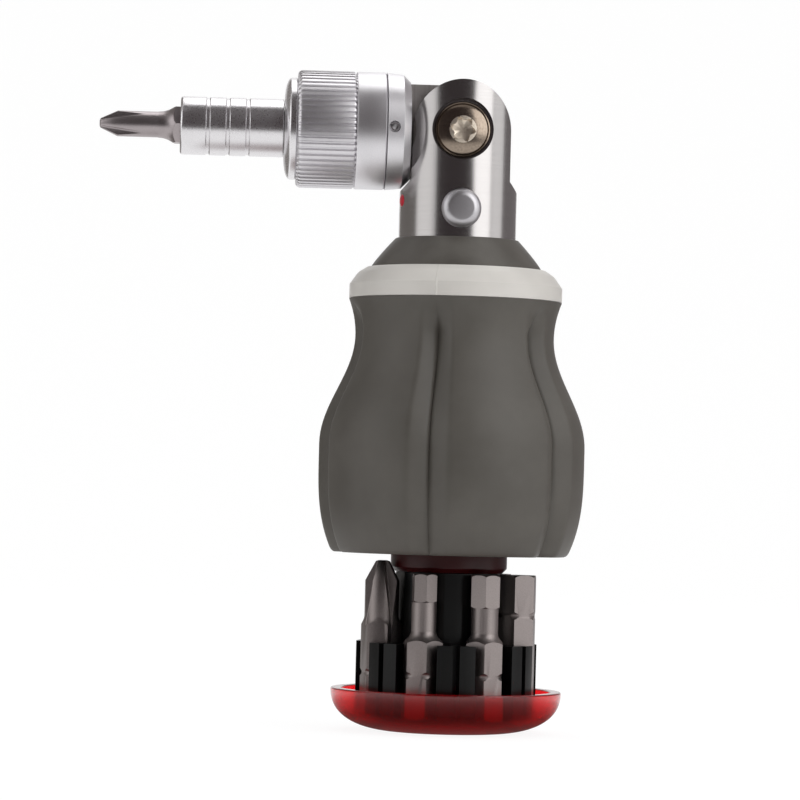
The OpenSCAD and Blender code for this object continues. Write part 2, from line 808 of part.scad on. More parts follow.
// Turns a side view about the pawl's pivot
module about_pivot(angle) {
    translate(pawl_pivot) rotate(angle) translate(-pawl_pivot) children();
}

module pawl_forward() {
    color(STEEL) at_head() translate([0, 0, pawl_u]) linear_extrude(height = pawl_len)
        pawl_outline();
}

module pawl_reverse() {
    color(STEEL) at_head() translate([0, 0, pawl_u]) linear_extrude(height = pawl_len)
        mirror([1, 0]) about_pivot(pawl_lift) pawl_outline();
}

// A flat spring over each pawl's tip
module pawl_springs() {
    from = -pocket_angle + 0.5;
    to = -24;
    strip_point = function (r, i)
        let (a = from + (to - from) * i / 3) [r * cos(a), r * sin(a)];
    color(STEEL) at_head() for (side = [0, 1]) mirror([side, 0, 0])
        translate([0, 0, pawl_u + 1]) linear_extrude(height = pawl_len - 2) polygon(concat(
            [for (i = [0:3]) strip_point(pawl_spring_r, i)],
            [for (i = [3:-1:0]) strip_point(pawl_spring_r - pawl_spring_t, i)]
        ));
}

module selector_stop_pin() {
    color(STEEL) at_head() translate([0, 0, stop_pin_u]) rotate([90, 0, 0])
        translate([0, 0, cap_spigot_r]) cylinder(r = stop_pin_r, h = sleeve_bore_r + 0.4 - cap_spigot_r);
}

module detent_ball() {
    color(STEEL) at_head() translate([0, detent_at, detent_u]) sphere(r = detent_ball_r);
}

module detent_spring() {
    from = rear_journal_r + 0.65;
    color(STEEL) at_head() translate([0, 0, detent_u]) rotate([-90, 0, 0])
        translate([0, 0, from]) tube(detent_ball_r - 0.1, 0.5, detent_at - 0.75 - from);
}

// Cam that lets one pawl's heel rise as the sleeve turns, drawn for the forward pawl
module cam_relief() {
    n = 8;
    from = heel_angle - selector_turn;
    low_r = sleeve_bore_r - fit;
    polygon(concat(
        [[0, 0]],
        [for (i = [0:n])
            let (a = from + selector_turn * i / n, r = low_r + (relief_r - low_r) * i / n)
                [r * cos(a), r * sin(a)]],
        [[relief_r * cos(heel_angle + 4), relief_r * sin(heel_angle + 4)],
         [relief_r * cos(heel_angle + 8), relief_r * sin(heel_angle + 8)]]
    ));
}

// The knurled band, with ribs along its length
module knurl_outline() {
    polygon([
        for (k = [0:knurl_count - 1])
            for (s = [[-0.3, 0], [-0.12, 1], [0.12, 1], [0.3, 0]])
                let (a = (k + s[0]) * 360 / knurl_count, r = head_r - knurl_depth * (1 - s[1]))
                    [r * cos(a), r * sin(a)]
    ]);
}

module selector_sleeve() {
    edge = 0.5;
    groove_half = 1.05;
    color(CHROME) at_head() difference() {
        union() {
            translate([0, 0, sleeve_u]) cylinder(r1 = head_r - 0.2, r2 = head_r, h = 0.2);
            translate([0, 0, sleeve_u + 0.2]) cylinder(r = head_r, h = smooth_len - 0.6);
            translate([0, 0, knurl_u - 0.5]) cylinder(r = head_r - edge - 0.1, h = 1.5);
            intersection() {
                translate([0, 0, knurl_u]) linear_extrude(height = knurl_len) knurl_outline();
                translate([0, 0, knurl_u]) rotate_extrude() polygon([
                    [0, 0], [head_r - edge, 0], [head_r + edge, 2 * edge],
                    [head_r + edge, knurl_len - 2 * edge], [head_r - edge, knurl_len], [0, knurl_len]
                ]);
            }
        }
        translate([0, 0, sleeve_u - 1]) cylinder(r = sleeve_bore_r, h = sleeve_end - sleeve_u + 2);
        translate([0, 0, pawl_u - side_gap]) linear_extrude(height = pawl_len + 2 * side_gap) {
            cam_relief();
            rotate(-selector_turn) mirror([1, 0]) cam_relief();
        }
        translate([0, 0, detent_u - groove_half]) cylinder(r = sleeve_bore_r + 0.45, h = 2 * groove_half);
        for (a = [0, -selector_turn])
            rotate([0, 0, a]) translate([0, sleeve_bore_r - 0.2, detent_u]) sphere(r = detent_ball_r + fit);
        translate([0, 0, stop_pin_u - stop_pin_r - fit])
            linear_extrude(height = 2 * (stop_pin_r + fit)) stop_track();
    }
}

// Arc that the stop pin runs along as the sleeve turns
module stop_track() {
    n = 10;
    spare = 5.6;
    from = -90 - selector_turn - spare;
    span = selector_turn + 2 * spare;
    r = sleeve_bore_r + 0.5;
    polygon(concat(
        [[0, 0]],
        [for (i = [0:n]) let (a = from + span * i / n) [r * cos(a), r * sin(a)]]
    ));
}

module ratchet_spindle() {
    color(STEEL) at_head() {
        translate([0, 0, web_u + 0.1]) cylinder(r = rear_journal_r, h = gear_u - web_u);
        translate([0, 0, gear_u]) linear_extrude(height = tooth_len) polygon([
            for (k = [0:2 * tooth_count - 1])
                let (a = 180 * k / tooth_count, r = tooth_tip_r - tooth_depth * (k % 2))
                    [r * cos(a), r * sin(a)]
        ]);
        translate([0, 0, gear_end - 0.5]) cylinder(r = journal_r, h = holder_u - gear_end + 0.5);
        translate([0, 0, holder_u - 0.5]) cylinder(r = nose_r, h = nose_len + 0.5);
    }
}

module bit_holder() {
    edge = 0.35;
    color(CHROME) at_head() difference() {
        translate([0, 0, holder_u]) union() {
            cylinder(r = holder_r, h = holder_len - edge);
            translate([0, 0, holder_len - edge])
                cylinder(r1 = holder_r, r2 = holder_r - edge, h = edge);
        }
        translate([0, 0, holder_u - 1]) cylinder(r = nose_r, h = nose_len + 1);
        translate([0, 0, magnet_u - fit]) cylinder(r = magnet_r + fit, h = bit_u - magnet_u);
        translate([0, 0, bit_u - fit]) rotate([0, 0, 30])
            cylinder(r = socket_r, h = socket_depth + 1, $fn = 6);
        translate([0, 0, clip_u - clip_wire_r - fit])
            cylinder(r = socket_r + 2 * clip_wire_r + 0.1, h = 2 * (clip_wire_r + fit));
        for (k = [0:2])
            translate([0, 0, holder_groove_u + k * holder_groove_pitch - holder_groove_w / 2])
                tube(holder_r + 1, holder_r - holder_groove_depth, holder_groove_w);
    }
}

module holder_magnet() {
    color(STEEL) at_head() translate([0, 0, magnet_u])
        cylinder(r = magnet_r, h = bit_u - magnet_u - seat_gap);
}

module holder_clip() {
    color(STEEL) at_head() translate([0, 0, clip_u]) rotate_extrude()
        translate([socket_r + clip_wire_r + fit, 0]) circle(r = clip_wire_r);
}

module driver_bit() {
    color(BIT) at_head() translate([0, 0, bit_u]) cross_bit(bit_len, 12.8, 2.3, 0.85, 3.2, 8.5);
}

module storage_cap() {
    inner_a = cap_r - cap_rim_wall - cap_inner_foot_r;
    outer = bowl(cap_foot_r, 0, cap_r - cap_foot_r, cap_h);
    inner = bowl(cap_inner_foot_r, cap_floor_t, inner_a, cap_h - cap_floor_t);
    boss_top = carousel_z + peg_len;
    color(RED) rotate_extrude() polygon(concat(
        [[0, 0]], outer, [for (i = [len(inner) - 1:-1:0]) inner[i]],
        [[axle_r, cap_floor_t], [axle_r, boss_top], [peg_r, boss_top],
         [peg_r, cap_floor_t + 0.6], [0, cap_floor_t + 0.6]]
    ));
}

module storage_post() {
    boss_top = carousel_z + peg_len;
    ring_z = guide_top + seat_gap;
    color(RED) rotate_extrude() polygon([
        [0, cap_floor_t + 0.6], [peg_r, cap_floor_t + 0.6], [peg_r, boss_top], [axle_r, boss_top],
        [axle_r, post_z], [post_r - post_chamfer, post_z], [post_r, post_z + post_chamfer],
        [post_r, ring_z],
        [post_r - stop_groove_depth, ring_z], [post_r - stop_groove_depth, ring_z + stop_ring_t],
        [post_r, ring_z + stop_ring_t], [post_r, post_top], [post_bore_r, post_top],
        [post_bore_r, post_z + post_floor_t], [0, post_z + post_floor_t]
    ]);
}

module post_stop_ring() {
    color(STEEL) translate([0, 0, guide_top + seat_gap]) difference() {
        tube(stop_ring_r, post_r - stop_groove_depth, stop_ring_t);
        translate([0, -1, -1]) cube([2 * stop_ring_r, 2, stop_ring_t + 2]);
    }
}

module bit_carousel() {
    wall_top = bit_floor_z + clip_wall_h;
    lean_h = 2;
    color(BLACK) difference() {
        rotate_extrude() polygon([
            [axle_r + 2 * fit, carousel_z], [carousel_foot_r, carousel_z],
            [carousel_r, carousel_z + lean_h], [carousel_r, wall_top], [core_r, wall_top],
            [core_r, core_top_z], [axle_r + 2 * fit, core_top_z]
        ]);
        for (k = [0:store_count - 1]) {
            rotate([0, 0, store_phase + store_pitch * k])
                translate([channel_r, -channel_w / 2, bit_floor_z])
                    cube([carousel_r, channel_w, core_top_z]);
            rotate([0, 0, store_phase + store_pitch * (k + 0.5)])
                translate([core_r + 1.6, -clip_slot_w / 2, bit_floor_z])
                    cube([carousel_r, clip_slot_w, core_top_z]);
        }
    }
}

module stored_bit_cross_3() {
    color(BIT) at_store(0) cross_bit(long_bit_len, 16, 3.05, 1.25, 3.6, 9.5);
}

module stored_bit_hex_4() {
    color(BIT) at_store(1) hex_tip_bit(4, 2.2, 5);
}

module stored_bit_hex_5() {
    color(BIT) at_store(2) hex_tip_bit(5, 2.6, 5.8);
}

module stored_bit_hex_6() {
    color(BIT) at_store(3) difference() {
        hex_bar(bit_af, bit_len);
        shank_notches(bit_len - notch_at);
    }
}

module stored_bit_slot_6() {
    blade_w = 6;
    blade_t = 1;
    blade_len = 6.5;
    color(BIT) at_store(4) {
        bit_body(13.4, 2, 2.6, bit_len - blade_len + 0.5);
        translate([0, 0, bit_len - blade_len]) intersection() {
            cylinder(r1 = 2.6, r2 = blade_w / 2 + 0.2, h = blade_len);
            rotate([90, 0, 0]) linear_extrude(height = blade_w, center = true) polygon([
                [-2.7, 0], [2.7, 0], [blade_t / 2, blade_len - 1], [blade_t / 2, blade_len],
                [-blade_t / 2, blade_len], [-blade_t / 2, blade_len - 1]
            ]);
        }
    }
}

module stored_bit_star_20() {
    tip_len = 4;
    color(BIT) at_store(5) {
        bit_body(13.4, 2.4, 2.1, bit_len - tip_len);
        translate([0, 0, bit_len - tip_len]) linear_extrude(height = tip_len) star(1.95);
    }
}

module stored_bit_cross_1() {
    color(BIT) at_store(6) cross_bit(bit_len, 13.4, 2.25, 0.5, 3.4, 6.5);
}

handle_core();
handle_grip();
trim_ring();
handle_cone();
post_guide();
yoke();
stem_pin();
pivot_screw();
pivot_nut();
tilt_washers();
lock_indicator();
lock_spring();
lock_button();
lock_plunger();
tongue_block();
ratchet_body();
collar_roll_pin();
front_cap();
pawl_pins();
pawl_springs();
selector_stop_pin();
detent_ball();
detent_spring();
selector_sleeve();
pawl_forward();
pawl_reverse();
ratchet_spindle();
bit_holder();
holder_magnet();
holder_clip();
driver_bit();
storage_cap();
storage_post();
post_stop_ring();
bit_carousel();
stored_bit_cross_3();
stored_bit_hex_4();
stored_bit_hex_5();
stored_bit_hex_6();
stored_bit_slot_6();
stored_bit_star_20();
stored_bit_cross_1();
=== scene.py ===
# %% [markdown]
# # A stubby ratcheting screwdriver
# This lesson dresses a finished construction model of a palm-sized screwdriver whose ratchet head
# folds over and whose red base pulls down to show its bits. The construction model gives every size
# and every joint. Blender gives what it lacks: soft rubber, satin chrome, see-through red plastic,
# rounded edges and studio light. Each piece is rebuilt with finer form in the same place, and then
# rides on the body of the construction model that carries it.

# %% Load the construction model
import math

import bmesh
import bpy
from mathutils import Matrix, Vector


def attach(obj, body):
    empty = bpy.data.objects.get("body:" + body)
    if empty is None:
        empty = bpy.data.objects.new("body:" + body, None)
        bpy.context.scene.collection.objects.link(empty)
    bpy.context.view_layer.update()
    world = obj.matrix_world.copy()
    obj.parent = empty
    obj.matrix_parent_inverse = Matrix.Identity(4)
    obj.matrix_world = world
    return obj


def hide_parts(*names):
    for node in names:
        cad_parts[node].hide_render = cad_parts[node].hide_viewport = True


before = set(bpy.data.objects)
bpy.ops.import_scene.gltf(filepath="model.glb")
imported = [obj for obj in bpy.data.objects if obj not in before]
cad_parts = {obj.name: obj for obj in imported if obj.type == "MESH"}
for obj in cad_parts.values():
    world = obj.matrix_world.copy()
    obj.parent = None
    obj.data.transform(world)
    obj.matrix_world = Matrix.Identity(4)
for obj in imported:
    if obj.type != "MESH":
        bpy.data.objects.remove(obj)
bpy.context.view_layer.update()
print("nodes in the construction model:", len(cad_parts))

# %% [markdown]
# ## Sizes
# The construction model is drawn in millimetres and Blender works in metres, so every size below is
# in millimetres and is scaled once, where a mesh is made. Names that end in Z are heights on the
# handle, and names that end in U are distances from the pivot along the ratchet head. A piece is
# placed by a matrix, made of a shift and a turn. The ratchet head lies along -X at the height of the
# pivot, and the screw and the button lie along Y.

# %% Main sizes, in millimetres
MM = 0.001
GRIP_FOOT_Z, GRIP_TOP_Z = 31.7, 77.0
CONE_Z, YOKE_Z, BUTTON_Z, MARK_Z, PIVOT_Z = 82.7, 88.0, 93.0, 94.6, 107.05
HEAD_R, COLLAR_U, PIN_U = 10.5, 9.1, 12.1


def shift_by(x=0.0, z=0.0):
    """Matrix of a shift in millimetres."""
    return Matrix.Translation((x * MM, 0, z * MM))


def turn_by(degrees, axis="Z"):
    """Matrix of a turn about an axis through the origin."""
    return Matrix.Rotation(math.radians(degrees), 4, axis)


def along_y(z):
    """Matrix that lays a shape made along +Z on +Y, at a height."""
    return shift_by(z=z) @ turn_by(-90, "X")


HEAD = shift_by(z=PIVOT_Z) @ turn_by(-90, "Y")
print("pivot at", PIVOT_Z, "mm, grip", round(GRIP_TOP_Z - GRIP_FOOT_Z, 1), "mm long")

# %% [markdown]
# ## Turning and extruding
# Nearly every part of a screwdriver is turned on a lathe, and a lathe is what the spin operator is:
# it carries a profile round an axis. Bars and slots have one outline all along, so they are extruded.
# Either way, doubled points are merged and all faces are made to point outwards.

# %% Lathe and prism
def lathe(profile, steps=128, closed=False):
    """Spins a profile of (radius, height) points in millimetres round Z."""
    bm = bmesh.new()
    verts = [bm.verts.new((r * MM, 0, z * MM)) for r, z in profile]
    edges = [bm.edges.new(pair) for pair in zip(verts, verts[1:])]
    if closed:
        edges.append(bm.edges.new((verts[-1], verts[0])))
    bmesh.ops.spin(
        bm, geom=verts + edges, cent=(0, 0, 0), axis=(0, 0, 1), dvec=(0, 0, 0),
        angle=2 * math.pi, steps=steps, use_merge=True, use_duplicate=False,
    )
    return tidy(bm)


def tidy(bm):
    """Merges doubles, drops collapsed faces and points every face outwards."""
    bmesh.ops.remove_doubles(bm, verts=bm.verts, dist=2e-7)
    bmesh.ops.dissolve_degenerate(bm, dist=1e-7, edges=bm.edges)
    bmesh.ops.recalc_face_normals(bm, faces=bm.faces)
    return bm


def prism(outline, low, high):
    """Extrudes a closed outline of (x, y) points in millimetres from one height to another."""
    bm = bmesh.new()
    face = bm.faces.new([bm.verts.new((x * MM, y * MM, low * MM)) for x, y in outline])
    made = bmesh.ops.extrude_face_region(bm, geom=[face])
    top = [g for g in made["geom"] if isinstance(g, bmesh.types.BMVert)]
    bmesh.ops.translate(bm, verts=top, vec=(0, 0, (high - low) * MM))
    return tidy(bm)


def circle(r, n, start=0.0):
    """Points round a circle, for outlines. The start angle is in radians."""
    angles = [start + 2 * math.pi * i / n for i in range(n)]
    return [(r * math.cos(a), r * math.sin(a)) for a in angles]


trial = lathe([(0, 0), (1, 0), (1, 1), (0, 1)], steps=8)
print("a rod turned in 8 steps has", len(trial.faces), "faces")
trial.free()

# %% [markdown]
# ## Moving a shape
# A shape is made where its profile is easiest to write, upright on the origin, and moved afterwards.
# It is the points that move, never the object, so that each piece keeps its place in its mesh.

# %% Moving
def moved(bm, matrix):
    """Moves a whole shape and returns it."""
    bmesh.ops.transform(bm, matrix=matrix, verts=bm.verts)
    return bm


def turned(bm, degrees, axis="Z"):
    """Turns a whole shape about an axis through the origin."""
    return moved(bm, turn_by(degrees, axis))


def shifted(bm, x=0.0, z=0.0):
    """Shifts a whole shape by millimetres."""
    return moved(bm, shift_by(x=x, z=z))


print("the head's far end points along", [round(v) for v in HEAD.to_3x3() @ Vector((0, 0, 1))])

# %% [markdown]
# ## Cutting and joining
# A Boolean modifier cuts one solid with another, as a mill or a drill would. It works on objects, so
# two temporary ones are made, and the evaluated result is read back into a bmesh. The exact solver is
# slower than the fast one, but it copes with faces that lie in one plane, as milled faces often do.

# %% Boolean steps
SOLVER = "EXACT"


def loose_object(bm):
    """A temporary object from a shape. The shape is used up."""
    mesh = bpy.data.meshes.new("temporary")
    bm.to_mesh(mesh)
    bm.free()
    obj = bpy.data.objects.new("temporary", mesh)
    bpy.context.scene.collection.objects.link(obj)
    return obj


def combine(bm, other, how="DIFFERENCE"):
    """Cuts, joins or intersects two shapes with a Boolean modifier that is applied at once."""
    a, b = loose_object(bm), loose_object(other)
    step = a.modifiers.new("combine", "BOOLEAN")
    step.operation = how
    step.solver = SOLVER
    step.object = b
    result = bmesh.new()
    result.from_object(a, bpy.context.evaluated_depsgraph_get())
    for obj in (a, b):
        mesh = obj.data
        bpy.data.objects.remove(obj)
        bpy.data.meshes.remove(mesh)
    bmesh.ops.remove_doubles(result, verts=result.verts, dist=2e-7)
    bmesh.ops.dissolve_degenerate(result, dist=1e-7, edges=result.edges)
    return result


def cut(bm, *others):
    """Cuts several shapes out of the first."""
    for other in others:
        bm = combine(bm, other)
    return bm


print("shapes are cut and joined by the", SOLVER.lower(), "solver")

# %% [markdown]
# ## From a shape to a piece
# A shape becomes a piece when it gets a finish and a body to ride on. All its faces are shaded
# smooth, apart from edges that turn by more than 32 degrees, which stay crisp. Real edges are never
# knife sharp, so a small Bevel modifier rounds them, and that thin round is what catches the light.
# The last lines name the body of the construction model that carries the piece, and the nodes that
# the piece stands for.

# %% Finish a piece
SHARP_ANGLE = math.radians(32)


def finish_piece(name, bm, body, finish, stands_for=(), place=None, edge=0.0, segments=2,
                 inner=None):
    """Turns a shape into a piece: smooth faces, crisp edges, a rounded rim, a finish and a body."""
    if place is not None:
        moved(bm, place)
    mesh = bpy.data.meshes.new(name)
    bm.to_mesh(mesh)
    bm.free()
    mesh.materials.append(finish)
    if inner is not None:
        mesh.materials.append(inner)
    mesh.polygons.foreach_set("use_smooth", [True] * len(mesh.polygons))
    mesh.set_sharp_from_angle(angle=SHARP_ANGLE)
    obj = bpy.data.objects.new(name, mesh)
    bpy.context.scene.collection.objects.link(obj)
    if edge:
        step = obj.modifiers.new("rounded edges", "BEVEL")
        step.width = edge * MM
        step.segments = segments
        step.limit_method = "ANGLE"
        step.angle_limit = SHARP_ANGLE
        step.use_clamp_overlap = True
        step.harden_normals = True
        step.miter_outer = "MITER_ARC"
    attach(obj, body)
    if stands_for:
        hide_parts(*stands_for)
    print(f"{name}: {len(mesh.polygons)} faces, rides on {body}")


print("edges that turn by more than", round(math.degrees(SHARP_ANGLE)), "degrees stay crisp")

# %% [markdown]
# ## Helpers for finish
# A colour picked from a screen is in sRGB, and the shader works in linear light, so one function
# turns a hex colour to linear. One more adds a shader node with its settings and its links. Patterns
# are worked out from real sizes: a grain of half a millimetre is a noise scale of 2000 on Object
# coordinates, which are in metres.

# %% Colour and nodes
def colour(hex_code):
    """Linear colour from an sRGB hex code."""
    parts = [int(hex_code[i : i + 2], 16) / 255 for i in (1, 3, 5)]
    return [c / 12.92 if c <= 0.04045 else ((c + 0.055) / 1.055) ** 2.4 for c in parts] + [1.0]


def add(tree, kind, settings=None, links=None):
    """Adds a node. Settings are properties or sockets, and links are sockets fed by (node, output)."""
    made = tree.nodes.new("ShaderNode" + kind)
    for key, value in (settings or {}).items():
        if isinstance(key, str) and key in made.bl_rna.properties:
            setattr(made, key, value)
        else:
            made.inputs[key].default_value = value
    for key, (source, output) in (links or {}).items():
        tree.links.new(source.outputs[output], made.inputs[key])
    return made


def new_finish(name):
    """An empty material with its node tree and an output."""
    material = bpy.data.materials.new(name)
    material.use_nodes = True
    tree = material.node_tree
    tree.nodes.clear()
    output = add(tree, "OutputMaterial")
    place = add(tree, "TexCoord")
    return material, tree, output, place


def per_metre(millimetres):
    """Texture scale for a pattern of this size on Object coordinates."""
    return 1000.0 / millimetres


print("sRGB #808080 is", round(colour("#808080")[0], 3), "in linear light")

# %% [markdown]
# ## Moulded finishes
# The grip is soft-touch elastomer moulded over a hard core. Its mould is spark eroded, which leaves a
# fine, even grain: the surface is dull, with a broad weak highlight and no sharp reflection. The ring
# is hard ABS from a polished mould, so it is smoother and paler. Both get a faint cloudy change of
# tone a few millimetres across, as real mouldings have, since one flat colour looks like paint.

# %% Rubber, ABS and black nylon
def tone_between(tree, noise, dark, light):
    """Colour that follows a noise from a dark tone to a light one."""
    tone = add(tree, "ValToRGB", None, {"Fac": (noise, "Fac")})
    low, high = tone.color_ramp.elements
    low.position, low.color = 0.3, colour(dark)
    high.position, high.color = 0.7, colour(light)
    return tone


def moulded(name, dark, light, cloud_mm, grain_mm, depth_mm, roughness, spread=0.06, shine=0.5):
    """A moulded surface: cloudy tone, fine grain and a slightly uneven gloss."""
    material, tree, output, place = new_finish(name)
    cloud = add(tree, "TexNoise", {"Scale": per_metre(cloud_mm), "Detail": 3.0, "Roughness": 0.55},
                {"Vector": (place, "Object")})
    tone = tone_between(tree, cloud, dark, light)
    gloss = add(tree, "MapRange", {"To Min": roughness - spread, "To Max": roughness + spread},
                {"Value": (cloud, "Fac")})
    grain = add(tree, "TexNoise", {"Scale": per_metre(grain_mm), "Detail": 2.0},
                {"Vector": (place, "Object")})
    bump = add(tree, "Bump", {"Strength": 0.6, "Distance": depth_mm * MM}, {"Height": (grain, "Fac")})
    skin = add(tree, "BsdfPrincipled", {"Specular IOR Level": shine},
               {"Base Color": (tone, "Color"), "Roughness": (gloss, "Result"),
                "Normal": (bump, "Normal")})
    tree.links.new(skin.outputs["BSDF"], output.inputs["Surface"])
    return material


RUBBER = moulded("soft_touch_rubber_spark_grained", "#504C46", "#5A5650", 9, 0.3, 0.012, 0.5)
CONE_RUBBER = moulded("soft_touch_rubber_cone", "#524E48", "#605C56", 6, 0.35, 0.012, 0.42)
RING_ABS = moulded("pale_abs_satin_moulded", "#D6D2CC", "#E0DCD6", 11, 0.5, 0.004, 0.36)
BLACK_NYLON = moulded("black_nylon_moulded", "#080808", "#0D0D0D", 5, 0.4, 0.004, 0.3, 0.04, 0.2)
CORE_ABS = moulded("dark_abs_core", "#2B2A28", "#343330", 8, 0.5, 0.01, 0.5)
print("moulded finishes:", RUBBER.name, RING_ABS.name, BLACK_NYLON.name)

# %% [markdown]
# ## Metal finishes
# Turned steel keeps the fine rings that the tool leaves, so its roughness changes quickly along the
# bar and hardly at all round it. Stretching a noise does that: its coordinates are scaled a hundred
# times more along the axis than across. Satin chrome is blasted before plating, and shows the same
# even blur in all directions, with a very fine grain. The grain's depth is a thousandth of a
# millimetre or so, because a polished surface shows far shallower bumps than a dull one.

# %% Turned, ground and plated metal
def metal(name, dark, light, roughness, spread, grain_mm, stretch=(1, 1, 1), depth_mm=0.004):
    """A metal whose tone and gloss follow one fine grain, which may be drawn out along an axis."""
    material, tree, output, place = new_finish(name)
    drawn = add(tree, "Mapping", {"Scale": stretch}, {"Vector": (place, "Object")})
    grain = add(tree, "TexNoise", {"Scale": per_metre(grain_mm), "Detail": 4.0, "Roughness": 0.6},
                {"Vector": (drawn, "Vector")})
    tone = tone_between(tree, grain, dark, light)
    gloss = add(tree, "MapRange", {"To Min": roughness - spread, "To Max": roughness + spread},
                {"Value": (grain, "Fac")})
    bump = add(tree, "Bump", {"Strength": 0.5, "Distance": depth_mm * MM}, {"Height": (grain, "Fac")})
    skin = add(tree, "BsdfPrincipled", {"Metallic": 1.0},
               {"Base Color": (tone, "Color"), "Roughness": (gloss, "Result"),
                "Normal": (bump, "Normal")})
    tree.links.new(skin.outputs["BSDF"], output.inputs["Surface"])
    return material


YOKE_STEEL = metal("turned_steel_fine_rings", "#ACA9A8", "#B1AEAD", 0.2, 0.03, 0.5,
                   (0.02, 0.02, 2.5), 0.0003)
TONGUE_STEEL = metal("ground_steel_dark", "#A09B99", "#B5B0AE", 0.5, 0.08, 0.5, (3.0, 0.05, 0.05))
SATIN_CHROME = metal("satin_chrome_blasted", "#DBD9DC", "#E5E3E6", 0.4, 0.04, 0.16, depth_mm=0.0015)
BUTTON_CHROME = metal("satin_chrome_button", "#BAB8BB", "#C4C2C5", 0.4, 0.04, 0.16, depth_mm=0.0015)
BRIGHT_CHROME = metal("bright_chrome_polished", "#DDDBDD", "#E6E4E6", 0.28, 0.03, 0.3, depth_mm=0.0005)
BIT_STEEL = metal("grey_blasted_tool_steel", "#857D7B", "#958D8B", 0.42, 0.05, 0.16, depth_mm=0.002)
DRIVER_STEEL = metal("nickel_plated_tool_steel", "#A1999A", "#AEA6A7", 0.36, 0.05, 0.2, depth_mm=0.002)
DARK_NICKEL = metal("black_nickel_plated", "#85786C", "#9E9082", 0.2, 0.04, 0.3)
PLAIN_STEEL = metal("turned_steel_plain", "#8C8B89", "#A3A2A0", 0.3, 0.06, 0.4)
# Pale metal for the screw's recess, a painted highlight.
RECESS_PAINTED_HIGHLIGHT_STEEL = metal("recess_steel_painted_highlight", "#DDD0BE", "#EADFD0", 0.42, 0.06, 0.3,
                   depth_mm=0.001)
WASHER_BRASS = metal("rolled_brass", "#B08D4E", "#C6A566", 0.3, 0.05, 0.4)
print("metal finishes:", YOKE_STEEL.name, SATIN_CHROME.name, BIT_STEEL.name)

# %% [markdown]
# ## See-through red
# The cap and the post are polycarbonate tinted right through, with the usual index of 1.585. It is not
# water clear: the tint also scatters a little, so the rim glows pure red, and a dark thing behind it
# shows as a soft shadow. Most of the light is therefore let through, and the rest is scattered red.
# The post sits in the shade under the grip, and that shade is painted into its tint: a far darker red,
# nearly closed to light. The mark on the yoke is enamel.

# %% Polycarbonate and the red mark
POLYCARBONATE_IOR = 1.585


def see_through(name, tint, roughness, clear, shine):
    """Tinted plastic that lets a share of the light through, faintly uneven from its mould."""
    material, tree, output, place = new_finish(name)
    ripple = add(tree, "TexNoise", {"Scale": per_metre(6), "Detail": 1.0},
                 {"Vector": (place, "Object")})
    bump = add(tree, "Bump", {"Strength": 0.15, "Distance": 0.02 * MM}, {"Height": (ripple, "Fac")})
    skin = add(tree, "BsdfPrincipled",
               {"Base Color": colour(tint), "Roughness": roughness, "IOR": POLYCARBONATE_IOR,
                "Transmission Weight": clear, "Specular IOR Level": shine},
               {"Normal": (bump, "Normal")})
    tree.links.new(skin.outputs["BSDF"], output.inputs["Surface"])
    return material


RED_CLEAR = see_through("red_polycarbonate_polished", "#F2141C", 0.15, 0.95, 0.3)
# The post's dark tint is painted shade, far darker than the cap's red.
RED_POST_PAINTED_SHADE = see_through("red_polycarbonate_post_painted_shade", "#3A0608", 0.35, 0.2, 0.15)
RED_MARK = moulded("red_enamel_dot", "#C2102A", "#D0152F", 2, 0.4, 0.002, 0.3, 0.02)
print("see-through finishes:", RED_CLEAR.name, RED_POST_PAINTED_SHADE.name)

# %% [markdown]
# ## The grip's outline
# The grip is a soft tube with a belly, a waist and six flutes. It could be sculpted, but its section
# is regular, so it is turned first, without the flutes. Its outline rises in a curve from the foot to
# the belly, swings in to the waist like half a wave, and flares a little under the ring.

# %% Outline of the grip
GRIP_LEN = GRIP_TOP_Z - GRIP_FOOT_Z
BELLY_R, FOOT_R, WAIST_R, TOP_R = 23.75, 21.05, 17.77, 19.05
BELLY_FROM, BELLY_TO, WAIST_AT = 16.8, 19.3, GRIP_LEN - 6.5


def plain_radius(h):
    """Radius of the grip without its flutes, at a height above its lower edge."""
    if h < BELLY_FROM:
        return BELLY_R - (BELLY_R - FOOT_R) * (1 - h / BELLY_FROM) ** 3
    if h < BELLY_TO:
        return BELLY_R
    if h < WAIST_AT:
        share = (1 - math.cos(math.pi * (h - BELLY_TO) / (WAIST_AT - BELLY_TO))) / 2
        return BELLY_R + (WAIST_R - BELLY_R) * share
    return WAIST_R + (TOP_R - WAIST_R) * ((h - WAIST_AT) / (GRIP_LEN - WAIST_AT)) ** 2


for h in (0, BELLY_FROM, WAIST_AT, GRIP_LEN):
    print("radius", round(plain_radius(h), 2), "mm at", round(h, 1), "mm above the grip's foot")

# %% [markdown]
# ## The grip's creases
# Between two flutes the rubber keeps its round, and towards a crease it falls in more and more. The
# three creases in front are 65 degrees apart, and the three at the back share what is left. At the
# bottom of each runs a thin dark slit, where the mould's slides met: sharp half way up, and washed
# out towards both ends. Three formulas give the depth, from the angle and the height of a point.

# %% Depth of the creases
FRONT_CREASE, FRONT_GAP = -104.0, 65.0
BACK_GAP = (360 - 2 * FRONT_GAP) / 4
CREASES = [FRONT_CREASE + FRONT_GAP * k for k in (-1, 0, 1)]
CREASES += [CREASES[2] + BACK_GAP * k for k in (1, 2, 3)]
FLUTE_HALF, FLUTE_DEPTH, FLUTE_SOFT = 10.5, 2.1, 0.3
SLIT_DEPTH, SLIT_HALF, SLIT_WIDE = 0.34, 1.4, 3.2
SHARP_AT, SHARP_LEN = 24.0, 16.0


def crease_depth(h):
    """Depth of a crease at a height, less at the foot and none under the ring."""
    fade = max(0.0, min(1.0, (GRIP_LEN - 1 - h) / 5))
    return fade * FLUTE_DEPTH * (0.8 + 0.2 * min(1.0, h / BELLY_FROM))


def from_crease(angle):
    """Degrees to the nearest crease."""
    return min(abs((angle - c + 180) % 360 - 180) for c in CREASES)


